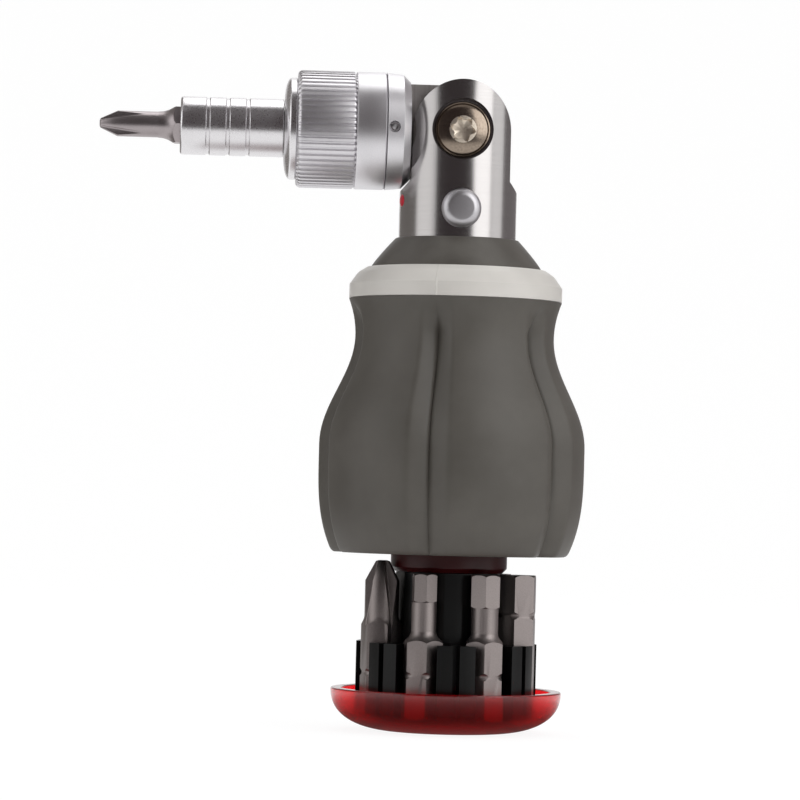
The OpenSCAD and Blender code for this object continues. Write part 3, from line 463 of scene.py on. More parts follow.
def flute_share(angle):
    """Share of the depth at an angle in degrees: 0 between the flutes, 1 in a crease."""
    t = from_crease(angle) / FLUTE_HALF
    if t >= 1:
        return 0.0
    if t > 1 - FLUTE_SOFT:
        return (1 - t) ** 2 / (2 * FLUTE_SOFT) / (1 - FLUTE_SOFT / 2)
    return (1 - t - FLUTE_SOFT / 2) / (1 - FLUTE_SOFT / 2)


def slit_depth(angle, h):
    """Extra depth of the thin slit in a crease, sharp half way up and soft towards both ends."""
    soft = min(1.0, abs(h - SHARP_AT) / SHARP_LEN) ** 2
    half = SLIT_HALF + (SLIT_WIDE - SLIT_HALF) * soft
    return SLIT_DEPTH * (1 - 0.3 * soft) * max(0.0, 1 - from_crease(angle) / half) ** 2


print("creases at", [round(c, 1) for c in CREASES], "degrees")

# %% [markdown]
# ## Turning and creasing the grip
# A turn of half a degree for each step puts a row of points near every crease. The spin makes a tube
# with its bore, and then each point on the outside moves in by the depth at its place. The bore has
# two widths, so the outside is told from it by radius, above and below a height.

# %% The grip
GRIP_STEPS = 720
WIDE_BORE_PAST, NARROW_BORE_PAST, NARROW_FROM = 18.6, 14.5, 26
rise = [0.0, 0.12, 0.4, 0.8] + [1.2 + (GRIP_LEN - 1.2) * i / 44 for i in range(45)]
lip = {0.0: 0.45, 0.12: 0.22, 0.4: 0.06}
outside = [(plain_radius(h) - lip.get(h, 0.0), GRIP_FOOT_Z + h) for h in rise]
inside = [(14.05, GRIP_TOP_Z), (14.05, 66.0), (18.25, 57.0), (18.25, GRIP_FOOT_Z)]
grip = lathe(outside + inside, steps=GRIP_STEPS, closed=True)
for v in grip.verts:
    r, h = math.hypot(v.co.x, v.co.y) / MM, v.co.z / MM - GRIP_FOOT_Z
    on_the_outside = r > WIDE_BORE_PAST or (h > NARROW_FROM and r > NARROW_BORE_PAST)
    if on_the_outside:
        angle = math.degrees(math.atan2(v.co.y, v.co.x))
        slit = slit_depth(angle, h) / FLUTE_DEPTH
        push = crease_depth(h) * (flute_share(angle) + slit)
        v.co.x *= (r - push) / r
        v.co.y *= (r - push) / r
finish_piece("grip_rubber", grip, "handle", RUBBER, ["handle_grip"])

# %% [markdown]
# ## Ring and cone
# A hard pale ring closes the rubber, and a dark cone leads up to the steel. Both are plain turnings.
# The ring has a straight lower band and a sloping shoulder. Where the halves of its mould meet they
# leave a thin line of flash, so one row of points is pushed out by not quite a tenth of a millimetre.

# %% Ring and cone
FLASH_OUT, RING_R, RING_BORE_PAST = 0.09, 19.1, 15
ring = lathe([(14.05, 77.05), (18.95, 77.05), (19.05, 77.15), (19.05, 79.6), (17.75, 81.45),
              (17.4, 81.8), (16.1, 82.65), (14.05, 82.65)], steps=GRIP_STEPS, closed=True)
for v in ring.verts:
    off = abs(math.degrees(math.atan2(v.co.y, v.co.x)) - FRONT_CREASE)
    if off < 0.2 and math.hypot(v.co.x, v.co.y) > RING_BORE_PAST * MM:
        v.co.x *= 1 + FLASH_OUT / RING_R
        v.co.y *= 1 + FLASH_OUT / RING_R
finish_piece("trim_ring_abs", ring, "handle", RING_ABS, ["trim_ring"])

CONE_H = YOKE_Z - CONE_Z
cone_line = [(15.3 - 4.3 * (i / 10) ** 1.15, CONE_Z + CONE_H * i / 10) for i in range(11)]
cone = lathe([(13.05, CONE_Z)] + cone_line + [(6.05, YOKE_Z), (6.05, 86.1), (9.05, 86.1),
             (9.05, 84.35), (13.05, 84.35)], closed=True)
finish_piece("cone_rubber", cone, "handle", CONE_RUBBER, ["handle_cone"], edge=0.15)

# %% [markdown]
# ## The yoke
# The yoke is one steel bar. It is turned round, then a mill takes two flats off its sides and a slot
# through the middle, and its ears are rounded about the pivot. The same steps are taken here, in the
# same order: a cylinder, an intersection with the front outline, and then the slot and the bores.

# %% Milling the yoke
EAR_R, SLOT_HALF, SLOT_FLOOR, FLAT_Z, SHOULDER_SLOPE = 8.8, 4.3, 98.6, 98.2, 1.12
yoke = lathe([(0, 65), (6.0, 65), (6.0, YOKE_Z), (HEAD_R, YOKE_Z), (HEAD_R, 118), (0, 118)], steps=192)
side = HEAD_R + 1.2
shoulder_z = FLAT_Z - (side - EAR_R) * SHOULDER_SLOPE
outline = [(-side, 64), (side, 64), (side, shoulder_z), (EAR_R, FLAT_Z)]
outline += [(EAR_R * math.cos(math.pi * i / 48), PIVOT_Z + EAR_R * math.sin(math.pi * i / 48))
            for i in range(49)]
outline += [(-EAR_R, FLAT_Z), (-side, shoulder_z)]
yoke = combine(yoke, turned(prism(outline, -14, 14), 90, "X"), "INTERSECT")
slot = prism([(-14, -SLOT_HALF), (14, -SLOT_HALF), (14, SLOT_HALF), (-14, SLOT_HALF)],
             SLOT_FLOOR, 125)
screw_bore = lathe([(0, -12), (5.45, -12), (5.45, -7.0), (3.55, -7.0), (3.55, 6.4), (4.65, 6.4),
                    (4.65, 12), (0, 12)], 96)
button_bore = lathe([(0, -12), (3.55, -12), (3.55, 5.5), (0, 5.5)], 64)
plunger_bore = lathe([(0, 86.9), (2.65, 86.9), (2.65, 100), (0, 100)], 48)
yoke = cut(yoke, slot, moved(screw_bore, along_y(PIVOT_Z)), moved(button_bore, along_y(BUTTON_Z)),
           plunger_bore)
finish_piece("yoke_steel", yoke, "handle", YOKE_STEEL, ["yoke"], edge=0.22)

# %% [markdown]
# ## Pivot screw, its nut and the red mark
# The screw has a low dome with a flat top and a six-lobe recess, and it sits in a counterbore with a
# thin dark gap all round. The lobes of the recess are an outline whose radius rises and falls six
# times, cut down into the dome. Its walls and floor get a pale, rougher metal, a painted highlight
# that makes the recess show bright. The screw lies along Y, and its head is at the low end of its
# profile.

# %% Screw, nut and mark
def lobes(r, depth_share=0.14, n=96):
    """Outline of a six-lobe recess."""
    turns = [2 * math.pi * i / n for i in range(n)]
    radii = [r * (1 - depth_share + depth_share * math.cos(6 * t)) for t in turns]
    return [(radius * math.cos(t), radius * math.sin(t)) for radius, t in zip(radii, turns)]


DOME_R, DOME_TOP, RIM_R = 12.0, 9.6, 5.0
dome = [(r, DOME_R - DOME_TOP - math.sqrt(DOME_R ** 2 - r ** 2))
        for r in (4.35, 4.0, 3.5, 3.0, 2.4, 1.8, 1.2, 0.6, 0)]
screw = lathe([(0, 9.0), (2.5, 9.0), (2.5, 6.4), (3.5, 6.4), (3.5, -7.0), (RIM_R, -7.0), (RIM_R, -8.2),
               (4.85, -8.4), (4.65, -8.45), (4.5, -8.35), (4.42, -8.6)] + dome, 128)
recess = prism(lobes(2.25), -12, -8.3)
recess = combine(recess, lathe([(0, -8.6), (1.8, -8.6), (1.8, -8.3), (0, -7.6)], 48), "UNION")
screw = cut(screw, turned(recess, 10))
# The recess's walls and floor get the pale metal, a painted highlight.
for face in screw.faces:
    middle = face.calc_center_median() / MM
    in_the_recess = -9.5 < middle.z < -7.2 and math.hypot(middle.x, middle.y) < 2.3
    if in_the_recess:
        face.material_index = 1
finish_piece("pivot_screw_nickel", screw, "handle", DARK_NICKEL, ["pivot_screw"],
             along_y(PIVOT_Z), edge=0.1, inner=RECESS_PAINTED_HIGHLIGHT_STEEL)

nut = lathe([(2.5, 6.4), (4.6, 6.4), (4.6, 9.2), (2.5, 9.2)], 96, closed=True)
nut = cut(nut, *[shifted(lathe([(0, 8.0), (0.6, 8.0), (0.6, 10), (0, 10)], 32), x=x)
                 for x in (-3.55, 3.55)])
finish_piece("pivot_nut_nickel", nut, "handle", DARK_NICKEL, ["pivot_nut"],
             along_y(PIVOT_Z), edge=0.15)

mark = lathe([(0, 9.3), (1.1, 9.3), (1.1, 10.5), (0.85, 10.68), (0.4, 10.74), (0, 10.75)], 32)
MARK_TURN = 194
finish_piece("lock_mark_enamel", mark, "handle", RED_MARK, ["lock_indicator"],
             shift_by(z=MARK_Z) @ turn_by(MARK_TURN) @ turn_by(90, "Y"))

# %% [markdown]
# ## Lock button
# The button is a turned pin whose edge is rounded over widely, so it shows a bright ring round a flat
# face. A sloping bar behind it lifts the plunger, so the bar is drawn from the side and set upright
# across the button's axis before the two are joined.

# %% Button
button = lathe([(0, -11.8), (2.05, -11.8), (2.3, -11.76), (2.65, -11.6), (3.05, -11.3), (3.35, -10.95),
                (3.5, -10.5), (3.5, -7.0), (0, -7.0)], 96)
wedge_side = [(-8, 1.77), (-4.5, 1.77), (2.7, -3.27), (3.4, -3.27), (3.4, -1.77), (2.7, -1.77),
              (-4.5, 3.27), (-8, 3.27)]
wedge = moved(prism(wedge_side, -1.1, 1.1), shift_by(z=BUTTON_Z) @ turn_by(90) @ turn_by(90, "X"))
button = combine(moved(button, along_y(BUTTON_Z)), wedge, "UNION")
finish_piece("lock_button_chrome", button, "lock_button", BUTTON_CHROME,
             ["lock_button"])

# %% [markdown]
# ## Tongue
# The tongue is the ground bar between the yoke's ears, on which the head folds. Its tail is round
# about the pivot and has three notches for the plunger: head left, up and right. Next to the collar
# its faces stand a tenth of a millimetre proud, outside the thin washers. A round spigot, with the
# bore for the cross pin, goes into the collar.

# %% Tongue
def bore_across_head(r, u):
    """A long cylinder across the head at a distance from the pivot, to cut a bore with."""
    return shifted(turned(lathe([(0, -12), (r, -12), (r, 12), (0, 12)], 48), 90, "X"), z=u)


TONGUE_R, TONGUE_HALF = 8.2, 3.95
tail_angles = [math.pi * (1 + i / 32) for i in range(33)]
tail = [(TONGUE_R * math.cos(a), TONGUE_R * math.sin(a)) for a in tail_angles]
tongue = prism(tail + [(TONGUE_R, COLLAR_U), (-TONGUE_R, COLLAR_U)], -TONGUE_HALF, TONGUE_HALF)
BOSS_R, WASHER_CLEAR_R, BOSS_RAISE = 9.35, 7.9, 0.1
boss_angles = [math.radians(a) for a in range(-38, 39, 2)]
boss_edge = [(BOSS_R * math.sin(a), BOSS_R * math.cos(a)) for a in boss_angles]
boss_edge += [(WASHER_CLEAR_R * math.sin(a), WASHER_CLEAR_R * math.cos(a))
              for a in reversed(boss_angles)]
boss = prism(boss_edge, -TONGUE_HALF - BOSS_RAISE, TONGUE_HALF + BOSS_RAISE)
tongue = turned(combine(tongue, boss, "UNION"), 90, "X")
spigot = lathe([(0, 9), (6.4, 9), (6.4, 14.35), (0, 14.35)], 96)
spigot = cut(spigot, bore_across_head(1.0, PIN_U))
tongue = cut(combine(tongue, spigot, "UNION"), bore_across_head(3.55, 0.0))
notches = [turned(lathe([(0, 6.44), (2.7, 6.44), (2.7, 9.6), (0, 9.6)], 48), a, "Y")
           for a in (90, 180, 270)]
tongue = cut(tongue, *notches)
finish_piece("tongue_steel_visible", tongue, "head", TONGUE_STEEL, ["tongue_block"],
             HEAD, edge=0.25)

# %% [markdown]
# ## Ratchet body and its collar
# The collar behind the sleeve is a turned band that tapers a little towards the yoke, with a chamfer
# that clears the yoke's shoulder. A spring pin crosses it just under the surface. The barrel in front
# of it carries the sleeve, and two windows in the barrel leave room for the pawls. The front flange
# has a wide round, as an elliptical line from its rim to its face.

# %% Collar, front flange and pin
body = lathe([(3.05, 14.4), (6.45, 14.4), (6.45, COLLAR_U), (8.9, COLLAR_U), (10.2, 10.4),
              (HEAD_R, 13.3), (8.4, 13.3), (8.4, 29.35), (7.0, 29.35), (7.0, 24.7), (5.6, 24.7),
              (5.6, 16.6), (3.05, 16.6)], 160, closed=True)
PAWLS_FROM, PAWLS_TO = 17.35, 23.75
pocket = [(2, 1.51), (2, -1.51), (10.4, -7.84), (10.4, 7.84)]
body = cut(body, bore_across_head(1.0, PIN_U), prism(pocket, PAWLS_FROM, PAWLS_TO),
           prism([(-x, -y) for x, y in pocket], PAWLS_FROM, PAWLS_TO))
finish_piece("collar_chrome", body, "head", SATIN_CHROME, ["ratchet_body"], HEAD,
             edge=0.15)

FLANGE_R, FLANGE_ROUND, FLANGE_RISE = 9.1, 4, 1.2
QUARTER_TURN = [math.pi / 2 * i / 12 for i in range(13)]
face_round = [(FLANGE_R - FLANGE_ROUND * (1 - math.cos(a)), 30.3 + FLANGE_RISE * math.sin(a))
              for a in QUARTER_TURN]
flange = lathe([(4.45, 24.8), (6.9, 24.8), (6.9, 29.35), (8.95, 29.35), (FLANGE_R, 29.5)] + face_round
               + [(4.45, 31.5)], 160, closed=True)
finish_piece("front_flange_chrome", flange, "head", BRIGHT_CHROME, ["front_cap"], HEAD)

PIN_END, PIN_SLIT_AT = 10.1, 200
pin = lathe([(0.5, -PIN_END), (0.75, -PIN_END), (0.93, -PIN_END + 0.2), (0.93, PIN_END - 0.2),
             (0.75, PIN_END), (0.5, PIN_END)], 48, closed=True)
pin = cut(pin, prism([(0, -0.12), (2, -0.12), (2, 0.12), (0, 0.12)], -11, 11))
finish_piece("collar_pin_steel", pin, "head", BRIGHT_CHROME, ["collar_roll_pin"],
             shift_by(x=-PIN_U) @ along_y(PIVOT_Z) @ turn_by(PIN_SLIT_AT))

# %% [markdown]
# ## Selector sleeve
# A third of the sleeve is smooth and the rest is knurled with straight ribs for the fingers. A
# straight knurl is rolled in, which raises rounded ribs with narrow valleys. The sleeve is turned
# first, with ten steps to a rib, and then the points of the knurled part move in by the angle they
# stand at. Two sloping reliefs inside it press the pawls in or let them out as it turns.

# %% Knurl
KNURL_COUNT, KNURL_STEPS, KNURL_DEPTH, KNURL_FROM, SLEEVE_BORE_PAST = 60, 10, 0.45, 18.88, 9.6
RIB_HALF, RIB_SLOPE = 0.22, 0.14
knurl_stations = [18.9, 19.0, 19.15, 19.3, 28.5, 28.8, 29.05, 29.2]
knurl_drop = [0.3, 0.15, 0.05, 0.0, 0.0, 0.12, 0.3, 0.55]
line = [(8.5, 13.45), (10.3, 13.45), (HEAD_R, 13.65), (HEAD_R, 18.55), (10.42, 18.7),
        (10.2, 18.78)]
line += [(HEAD_R - d, u) for u, d in zip(knurl_stations, knurl_drop)]
line += [(8.5, 29.2)]
sleeve = lathe(line, KNURL_COUNT * KNURL_STEPS, closed=True)
for v in sleeve.verts:
    u, r = v.co.z / MM, math.hypot(v.co.x, v.co.y) / MM
    if u > KNURL_FROM and r > SLEEVE_BORE_PAST:
        turn = (math.degrees(math.atan2(v.co.y, v.co.x)) * KNURL_COUNT / 360) % 1
        valley = min(1.0, max(0.0, (abs(turn - 0.5) - RIB_HALF) / RIB_SLOPE))
        push = 1 - KNURL_DEPTH * (valley * valley * (3 - 2 * valley)) / r
        v.co.x *= push
        v.co.y *= push
relief = [(8.45 + 0.75 * i / 8, math.radians(-12 + 5 * i)) for i in range(9)]
relief += [(9.2, math.radians(36))]
for side, turn in ((1, 0), (-1, -40)):
    outline = [(0, 0)] + [(side * r * math.cos(a), r * math.sin(a)) for r, a in relief]
    sleeve = cut(sleeve, turned(prism(outline, PAWLS_FROM, PAWLS_TO), turn))
finish_piece("selector_sleeve_chrome", sleeve, "selector", SATIN_CHROME,
             ["selector_sleeve"], HEAD)

# %% [markdown]
# ## Bit holder
# The holder is a tube with three narrow grooves and a hexagonal socket. Each groove has its two
# edges broken, and those show as pairs of thin bright lines.

# %% Holder
HOLDER_R, GROOVE_U, GROOVE_PITCH, BIT_SEAT_U = 5.2, 38.0, 3.55, 39.4
holder_line = [(3.4, 31.65), (5.1, 31.65), (HOLDER_R, 31.75)]
for k in range(3):
    mid = GROOVE_U + GROOVE_PITCH * k
    holder_line += [(HOLDER_R, mid - 0.42), (5.1, mid - 0.3), (5.0, mid - 0.22), (5.0, mid + 0.22),
                    (5.1, mid + 0.3), (HOLDER_R, mid + 0.42)]
holder_line += [(HOLDER_R, 49.6), (5.08, 49.85), (4.85, 50.0), (3.4, 50.0)]
holder = lathe(holder_line, 128, closed=True)
holder = cut(holder, prism(circle(3.75, 6), 39.3, 51))
finish_piece("bit_holder_chrome", holder, "spindle", BRIGHT_CHROME, ["bit_holder"],
             HEAD)

# %% [markdown]
# ## Bits
# A bit starts as a hexagonal bar. Both ends are turned, which takes the corners off in curved
# scallops, and a ring of notches is ground into the six corners for the holder's clip. The shank here
# is the hexagon intersected with a turned shape, so that the scallops come out as on the real one.

# %% Shank of a bit
BIT_AF = 6.35
BIT_R = BIT_AF / math.sqrt(3)
CORNER_R = BIT_R + 0.02


def hexagon(af, low, high):
    """A hexagonal bar between two heights, with one flat towards +X."""
    return prism(circle(af / math.sqrt(3), 6, start=math.radians(30)), low, high)


def shank(end, notch_z=7.2, flare=(), foot=0.45):
    """The hexagonal part of a bit, turned at its foot and at its flare, with its ring of notches."""
    turning = lathe([(0, 0), (CORNER_R - foot, 0), (CORNER_R, foot), (CORNER_R, end)] + list(flare),
                    96)
    bar = combine(hexagon(BIT_AF, -1, end + 12), turning, "INTERSECT")
    ring = [(BIT_R + 0.42 + x, notch_z + y) for x, y in circle(0.8, 20)]
    return combine(bar, lathe(ring, 96, closed=True))


print("the shank's corners reach", round(BIT_R, 3), "mm")

# %% [markdown]
# ## Tips and the driver bit
# A cross-head tip is a cone with four grooves that run out along the neck. Each groove is a square
# bar with one rounded corner, leaned so that this corner is deepest at the point and runs out along
# the neck. A hexagonal tip is a smaller bar on a round neck. The bit in the holder lies along the head.

# %% Tips
def cross_tip(bm, length, neck_r, tip_r, taper, groove_len, turn=0.0):
    """Joins a turned neck and cone to a shank and grinds the four grooves."""
    cone_part = lathe([(0, 8), (neck_r, 8), (neck_r, length - taper), (tip_r, length - 0.15),
                       (tip_r * 0.6, length), (0, length)], 96)
    bm = combine(bm, cone_part, "UNION")
    root = 0.28 * neck_r
    lean = math.degrees(math.atan((neck_r - root) / groove_len))
    for k in range(4):
        groove = prism([(0, 0), (5, 0), (5, 5), (0, 5)], -groove_len - 1, 2)
        corner = [e for e in groove.edges
                  if all(abs(v.co.x) < 1e-9 and abs(v.co.y) < 1e-9 for v in e.verts)]
        bmesh.ops.bevel(groove, geom=corner, offset=0.3 * MM, offset_type="OFFSET", segments=4,
                        profile=0.5, affect="EDGES", material=-1)
        groove = shifted(turned(turned(groove, -45), -lean, "Y"), x=root, z=length)
        groove = turned(groove, 45 + turn + 90 * k)
        bm = combine(bm, groove)
    return bm


def hex_tip(bm, length, af, neck_r, tip_len):
    """Joins a round neck and a smaller hexagon with a chamfered end to a shank."""
    foot = length - tip_len
    bm = combine(bm, lathe([(0, 8), (neck_r, 8), (neck_r, foot), (0, foot)], 64), "UNION")
    r = af / math.sqrt(3)
    turning = lathe([(0, foot), (r - 0.3, foot), (r + 0.01, foot + 0.3), (r + 0.01, length - 0.3),
                     (r - 0.35, length), (0, length)], 64)
    return combine(bm, combine(hexagon(af, foot - 1, length + 1), turning, "INTERSECT"), "UNION")


driver = shank(11.4, flare=[(3.15, 11.9), (2.7, 12.7), (2.42, 13.6), (2.32, 14.6), (0, 14.6)])
driver = cross_tip(driver, 25.0, 2.3, 0.85, 3.2, 8.5)
finish_piece("driver_bit_cross", driver, "driver_bit", DRIVER_STEEL, ["driver_bit"],
             HEAD @ shift_by(z=BIT_SEAT_U), edge=0.06)

# %% [markdown]
# ## Stored bits
# Seven bits stand in the carousel with one flat facing outwards: a large cross-head, two with
# hexagonal tips, a plain hexagon, and three that the post hides, which are a slotted one, a star and
# a small cross-head. Each rides on its own body, because each can be tipped out.

# %% The seven stored bits
STORE_COUNT, STORE_START, STORE_R, STORE_FLOOR_Z = 7, -164.5, 12.4, 3.3
STORE_PITCH = 360 / STORE_COUNT


def store_place(k):
    """Matrix that stands a bit at its place round the carousel."""
    return turn_by(STORE_START + STORE_PITCH * k) @ shift_by(x=STORE_R, z=STORE_FLOOR_Z)


def neck_flare(end, neck_r, length):
    """Turned slope from the hexagon's corners down to a round neck."""
    slope = [(CORNER_R - (CORNER_R - neck_r) * math.sin(math.pi / 2 * i / 4), end + length * i / 4)
             for i in range(1, 5)]
    return slope + [(0, end + length)]


large_cross = cross_tip(shank(15.6, flare=neck_flare(15.6, 3.05, 1.6)), 27.1, 3.05, 1.25, 3.6, 11.5,
                        turn=-30)
hex_4 = hex_tip(shank(12.9, flare=neck_flare(12.9, 2.2, 2.0)), 25.0, 4.0, 2.2, 5.0)
hex_5 = hex_tip(shank(12.9, flare=neck_flare(12.9, 2.4, 1.8)), 25.0, 5.0, 2.4, 5.8)
hex_6 = shank(24.6, notch_z=17.8, flare=[(BIT_R - 0.4, 25.0), (0, 25.0)])
slotted = combine(shank(12.9, flare=neck_flare(12.9, 2.6, 1.8)),
                  lathe([(0, 8), (2.6, 8), (2.6, 19.0), (0, 19.0)], 64), "UNION")
blade_side = [(-2.7, 18.5), (2.7, 18.5), (0.5, 24.0), (0.5, 25.0), (-0.5, 25.0), (-0.5, 24.0)]
blade = combine(lathe([(0, 18.5), (2.6, 18.5), (3.2, 25.0), (0, 25.0)], 64),
                turned(prism(blade_side, -3, 3), 90, "X"), "INTERSECT")
slotted = combine(slotted, blade, "UNION")
star = combine(shank(12.9, flare=neck_flare(12.9, 2.1, 2.0)),
               lathe([(0, 8), (2.1, 8), (2.1, 21.0), (0, 21.0)], 64), "UNION")
star = combine(star, prism(lobes(1.95), 20.5, 25.0), "UNION")
small_cross = cross_tip(shank(12.9, flare=neck_flare(12.9, 2.25, 1.9)), 25.0, 2.25, 0.5, 3.4, 6.5)
stored = [("cross_3", large_cross), ("hex_4", hex_4), ("hex_5", hex_5), ("hex_6", hex_6),
          ("slot_6", slotted), ("star_20", star), ("cross_1", small_cross)]
for k, (kind, bm) in enumerate(stored):
    finish_piece(f"bit_{kind}_steel", bm, f"stored_bit_{kind}", BIT_STEEL,
                 [f"stored_bit_{kind}"], store_place(k), edge=0.07)

# %% [markdown]
# ## Carousel
# The carousel is one black moulding: a hub, and low walls that grip the bits from both sides. A slot
# splits each pair of walls so that they can spring. It is turned and then cut, as the mould's halves
# would form it.

# %% Carousel
CHANNEL_R, CHANNEL_HALF, GAP_R, GAP_HALF, CHANNEL_FLOOR = 9.05, 3.8, 11.0, 0.6, 3.2
carousel = lathe([(4.6, 1.9), (11.4, 1.9), (16.2, 3.9), (16.2, 15.9), (9.4, 15.9), (9.4, 28.4),
                  (4.6, 28.4)], 160, closed=True)
for k in range(STORE_COUNT):
    channel = prism([(CHANNEL_R, -CHANNEL_HALF), (20, -CHANNEL_HALF), (20, CHANNEL_HALF),
                     (CHANNEL_R, CHANNEL_HALF)], CHANNEL_FLOOR, 32)
    gap = prism([(GAP_R, -GAP_HALF), (20, -GAP_HALF), (20, GAP_HALF), (GAP_R, GAP_HALF)],
                CHANNEL_FLOOR, 32)
    carousel = cut(carousel, turned(channel, STORE_START + STORE_PITCH * k),
                   turned(gap, STORE_START + STORE_PITCH * (k + 0.5)))
finish_piece("carousel_nylon", carousel, "carousel", BLACK_NYLON, ["bit_carousel"],
             edge=0.2)

# %% [markdown]
# ## Cap and post
# The cap is a shallow bowl of clear red plastic with a flat foot, and the post is a tube of the same
# plastic that slides in the handle. Clear plastic needs true walls, because light bends at both of
# their faces, so the bowl is turned with its inside as well. Its side is fuller than a true ellipse,
# and a power a little under one on the sine and the cosine makes it so.

# %% Cap and post
def bowl(r0, z0, a, b, n=20, power=0.84):
    """Points on a slightly squared quarter ellipse, from its lowest point up to its widest."""
    steps = [math.pi / 2 * i / n for i in range(n + 1)]
    return [(r0 + a * math.sin(t) ** power, z0 + b * (1 - max(0.0, math.cos(t)) ** power))
            for t in steps]


cap_line = [(0, 0)] + bowl(7.8, 0, 12.8, 7.6) + list(reversed(bowl(11.0, 1.8, 7.7, 5.8)))
cap_line += [(4.5, 1.8), (4.5, 6.9), (2.55, 6.9), (2.55, 2.4), (0, 2.4)]
cap = lathe(cap_line, 160)
finish_piece("cap_polycarbonate", cap, "storage", RED_CLEAR, ["storage_cap"], edge=0.3,
             segments=3)

post = lathe([(0, 2.45), (2.5, 2.45), (2.5, 6.95), (4.5, 6.95), (4.5, 28.5), (9.6, 28.5),
              (10.4, 29.3), (10.4, 58.1), (9.6, 58.1), (9.6, 59.1), (10.4, 59.1), (10.4, 59.3),
              (8.7, 59.3), (8.7, 31.0), (0, 31.0)], 128)
finish_piece("post_polycarbonate", post, "storage", RED_POST_PAINTED_SHADE, ["storage_post"], edge=0.1)

# %% [markdown]
# ## Pieces that keep their construction mesh
# What is hidden inside the handle and the head needs no finer form, only a finish. Materials are
# assigned to those nodes as they are.

# %% Finishes for the inner pieces
INNER = {
    "handle_core": CORE_ABS, "post_guide": BLACK_NYLON, "stem_pin": PLAIN_STEEL,
    "tilt_washers": WASHER_BRASS, "lock_spring": PLAIN_STEEL, "lock_plunger": PLAIN_STEEL,
    "pawl_pins": PLAIN_STEEL, "pawl_springs": PLAIN_STEEL,
    "selector_stop_pin": PLAIN_STEEL, "detent_ball": BRIGHT_CHROME, "detent_spring": PLAIN_STEEL,
    "pawl_forward": PLAIN_STEEL, "pawl_reverse": PLAIN_STEEL, "ratchet_spindle": PLAIN_STEEL,
    "holder_magnet": PLAIN_STEEL, "holder_clip": PLAIN_STEEL, "post_stop_ring": PLAIN_STEEL,
}
for node_name, finish in INNER.items():
    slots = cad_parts[node_name].data.materials
    slots.clear()
    slots.append(finish)
print("nodes that keep their mesh:", len(INNER))

# %% [markdown]
# ## White paper
# A sheet of paper has to come out white and still take a soft shadow. Camera, mirror and see-through
# rays therefore find it almost plain white, and the small share of paper that is left is lit by the
# lamps and darkens under the object. The other rays find paper alone, which lights the object from
# below.

# %% Material of the sweep
def white_share(tree, share):
    """Share of plain white that camera, mirror and see-through rays find in the surface's place."""
    path = add(tree, "LightPath")
    one = add(tree, "Math", {"operation": "MAXIMUM"},
              {0: (path, "Is Camera Ray"), 1: (path, "Is Glossy Ray")})
    both = add(tree, "Math", {"operation": "MAXIMUM"},
               {0: (one, "Value"), 1: (path, "Is Transmission Ray")})
    return add(tree, "Math", {"operation": "MULTIPLY", 1: share}, {0: (both, "Value")})


WHITE, PAPER = (1.0, 1.0, 1.0, 1.0), (0.93, 0.93, 0.93, 1.0)
SWEEP_WHITE_SHARE, SWEEP_GLOW = 0.84, 1.08


def sweep_material():
    """Paper that shows as white in the picture and still takes the shadow."""
    material, tree, output, place = new_finish("white_paper_sweep")
    paper = add(tree, "BsdfDiffuse", {"Color": PAPER})
    glow = add(tree, "Emission", {"Color": WHITE, "Strength": SWEEP_GLOW})
    share = white_share(tree, SWEEP_WHITE_SHARE)
    both = add(tree, "MixShader", None,
               {0: (share, "Value"), 1: (paper, "BSDF"), 2: (glow, "Emission")})
    tree.links.new(both.outputs["Shader"], output.inputs["Surface"])
    return material


print("the camera finds", SWEEP_WHITE_SHARE, "of plain white on the paper")

# %% [markdown]
# ## Sweep
# Product photographs are taken on a white sweep: a sheet that runs back from under the object and
# curves up behind it, so that no horizon shows. Here it ends a third of a metre in front of the
# object, as a small table does. Its edge line is extruded from one side to the other.

# %% Sweep
def stage_piece(name, bm, material):
    """An object of the studio. It is no part of the screwdriver."""
    mesh = bpy.data.meshes.new(name)
    bm.to_mesh(mesh)
    bm.free()
    mesh.polygons.foreach_set("use_smooth", [True] * len(mesh.polygons))
    mesh.materials.append(material)
    obj = bpy.data.objects.new(name, mesh)
    bpy.context.scene.collection.objects.link(obj)
    return obj


SWEEP_HALF, SWEEP_FRONT, BEND_AT, BEND_R, SWEEP_TOP = 3.0, -0.34, 0.9, 0.6, 3.0
path_points = [(SWEEP_FRONT, 0.0), (BEND_AT, 0.0)]
path_points += [(BEND_AT + BEND_R * math.sin(a), BEND_R * (1 - math.cos(a)))
                for a in QUARTER_TURN[1:]]
path_points += [(BEND_AT + BEND_R, SWEEP_TOP)]
sweep = bmesh.new()
row = [sweep.verts.new((-SWEEP_HALF, y, z)) for y, z in path_points]
edges = [sweep.edges.new(pair) for pair in zip(row, row[1:])]
pulled = bmesh.ops.extrude_edge_only(sweep, edges=edges)
bmesh.ops.translate(sweep, verts=[g for g in pulled["geom"] if isinstance(g, bmesh.types.BMVert)],
                    vec=(2 * SWEEP_HALF, 0, 0))
bmesh.ops.recalc_face_normals(sweep, faces=sweep.faces)
sweep_object = stage_piece("sweep", sweep, sweep_material())
print("sweep:", len(sweep_object.data.polygons), "faces")
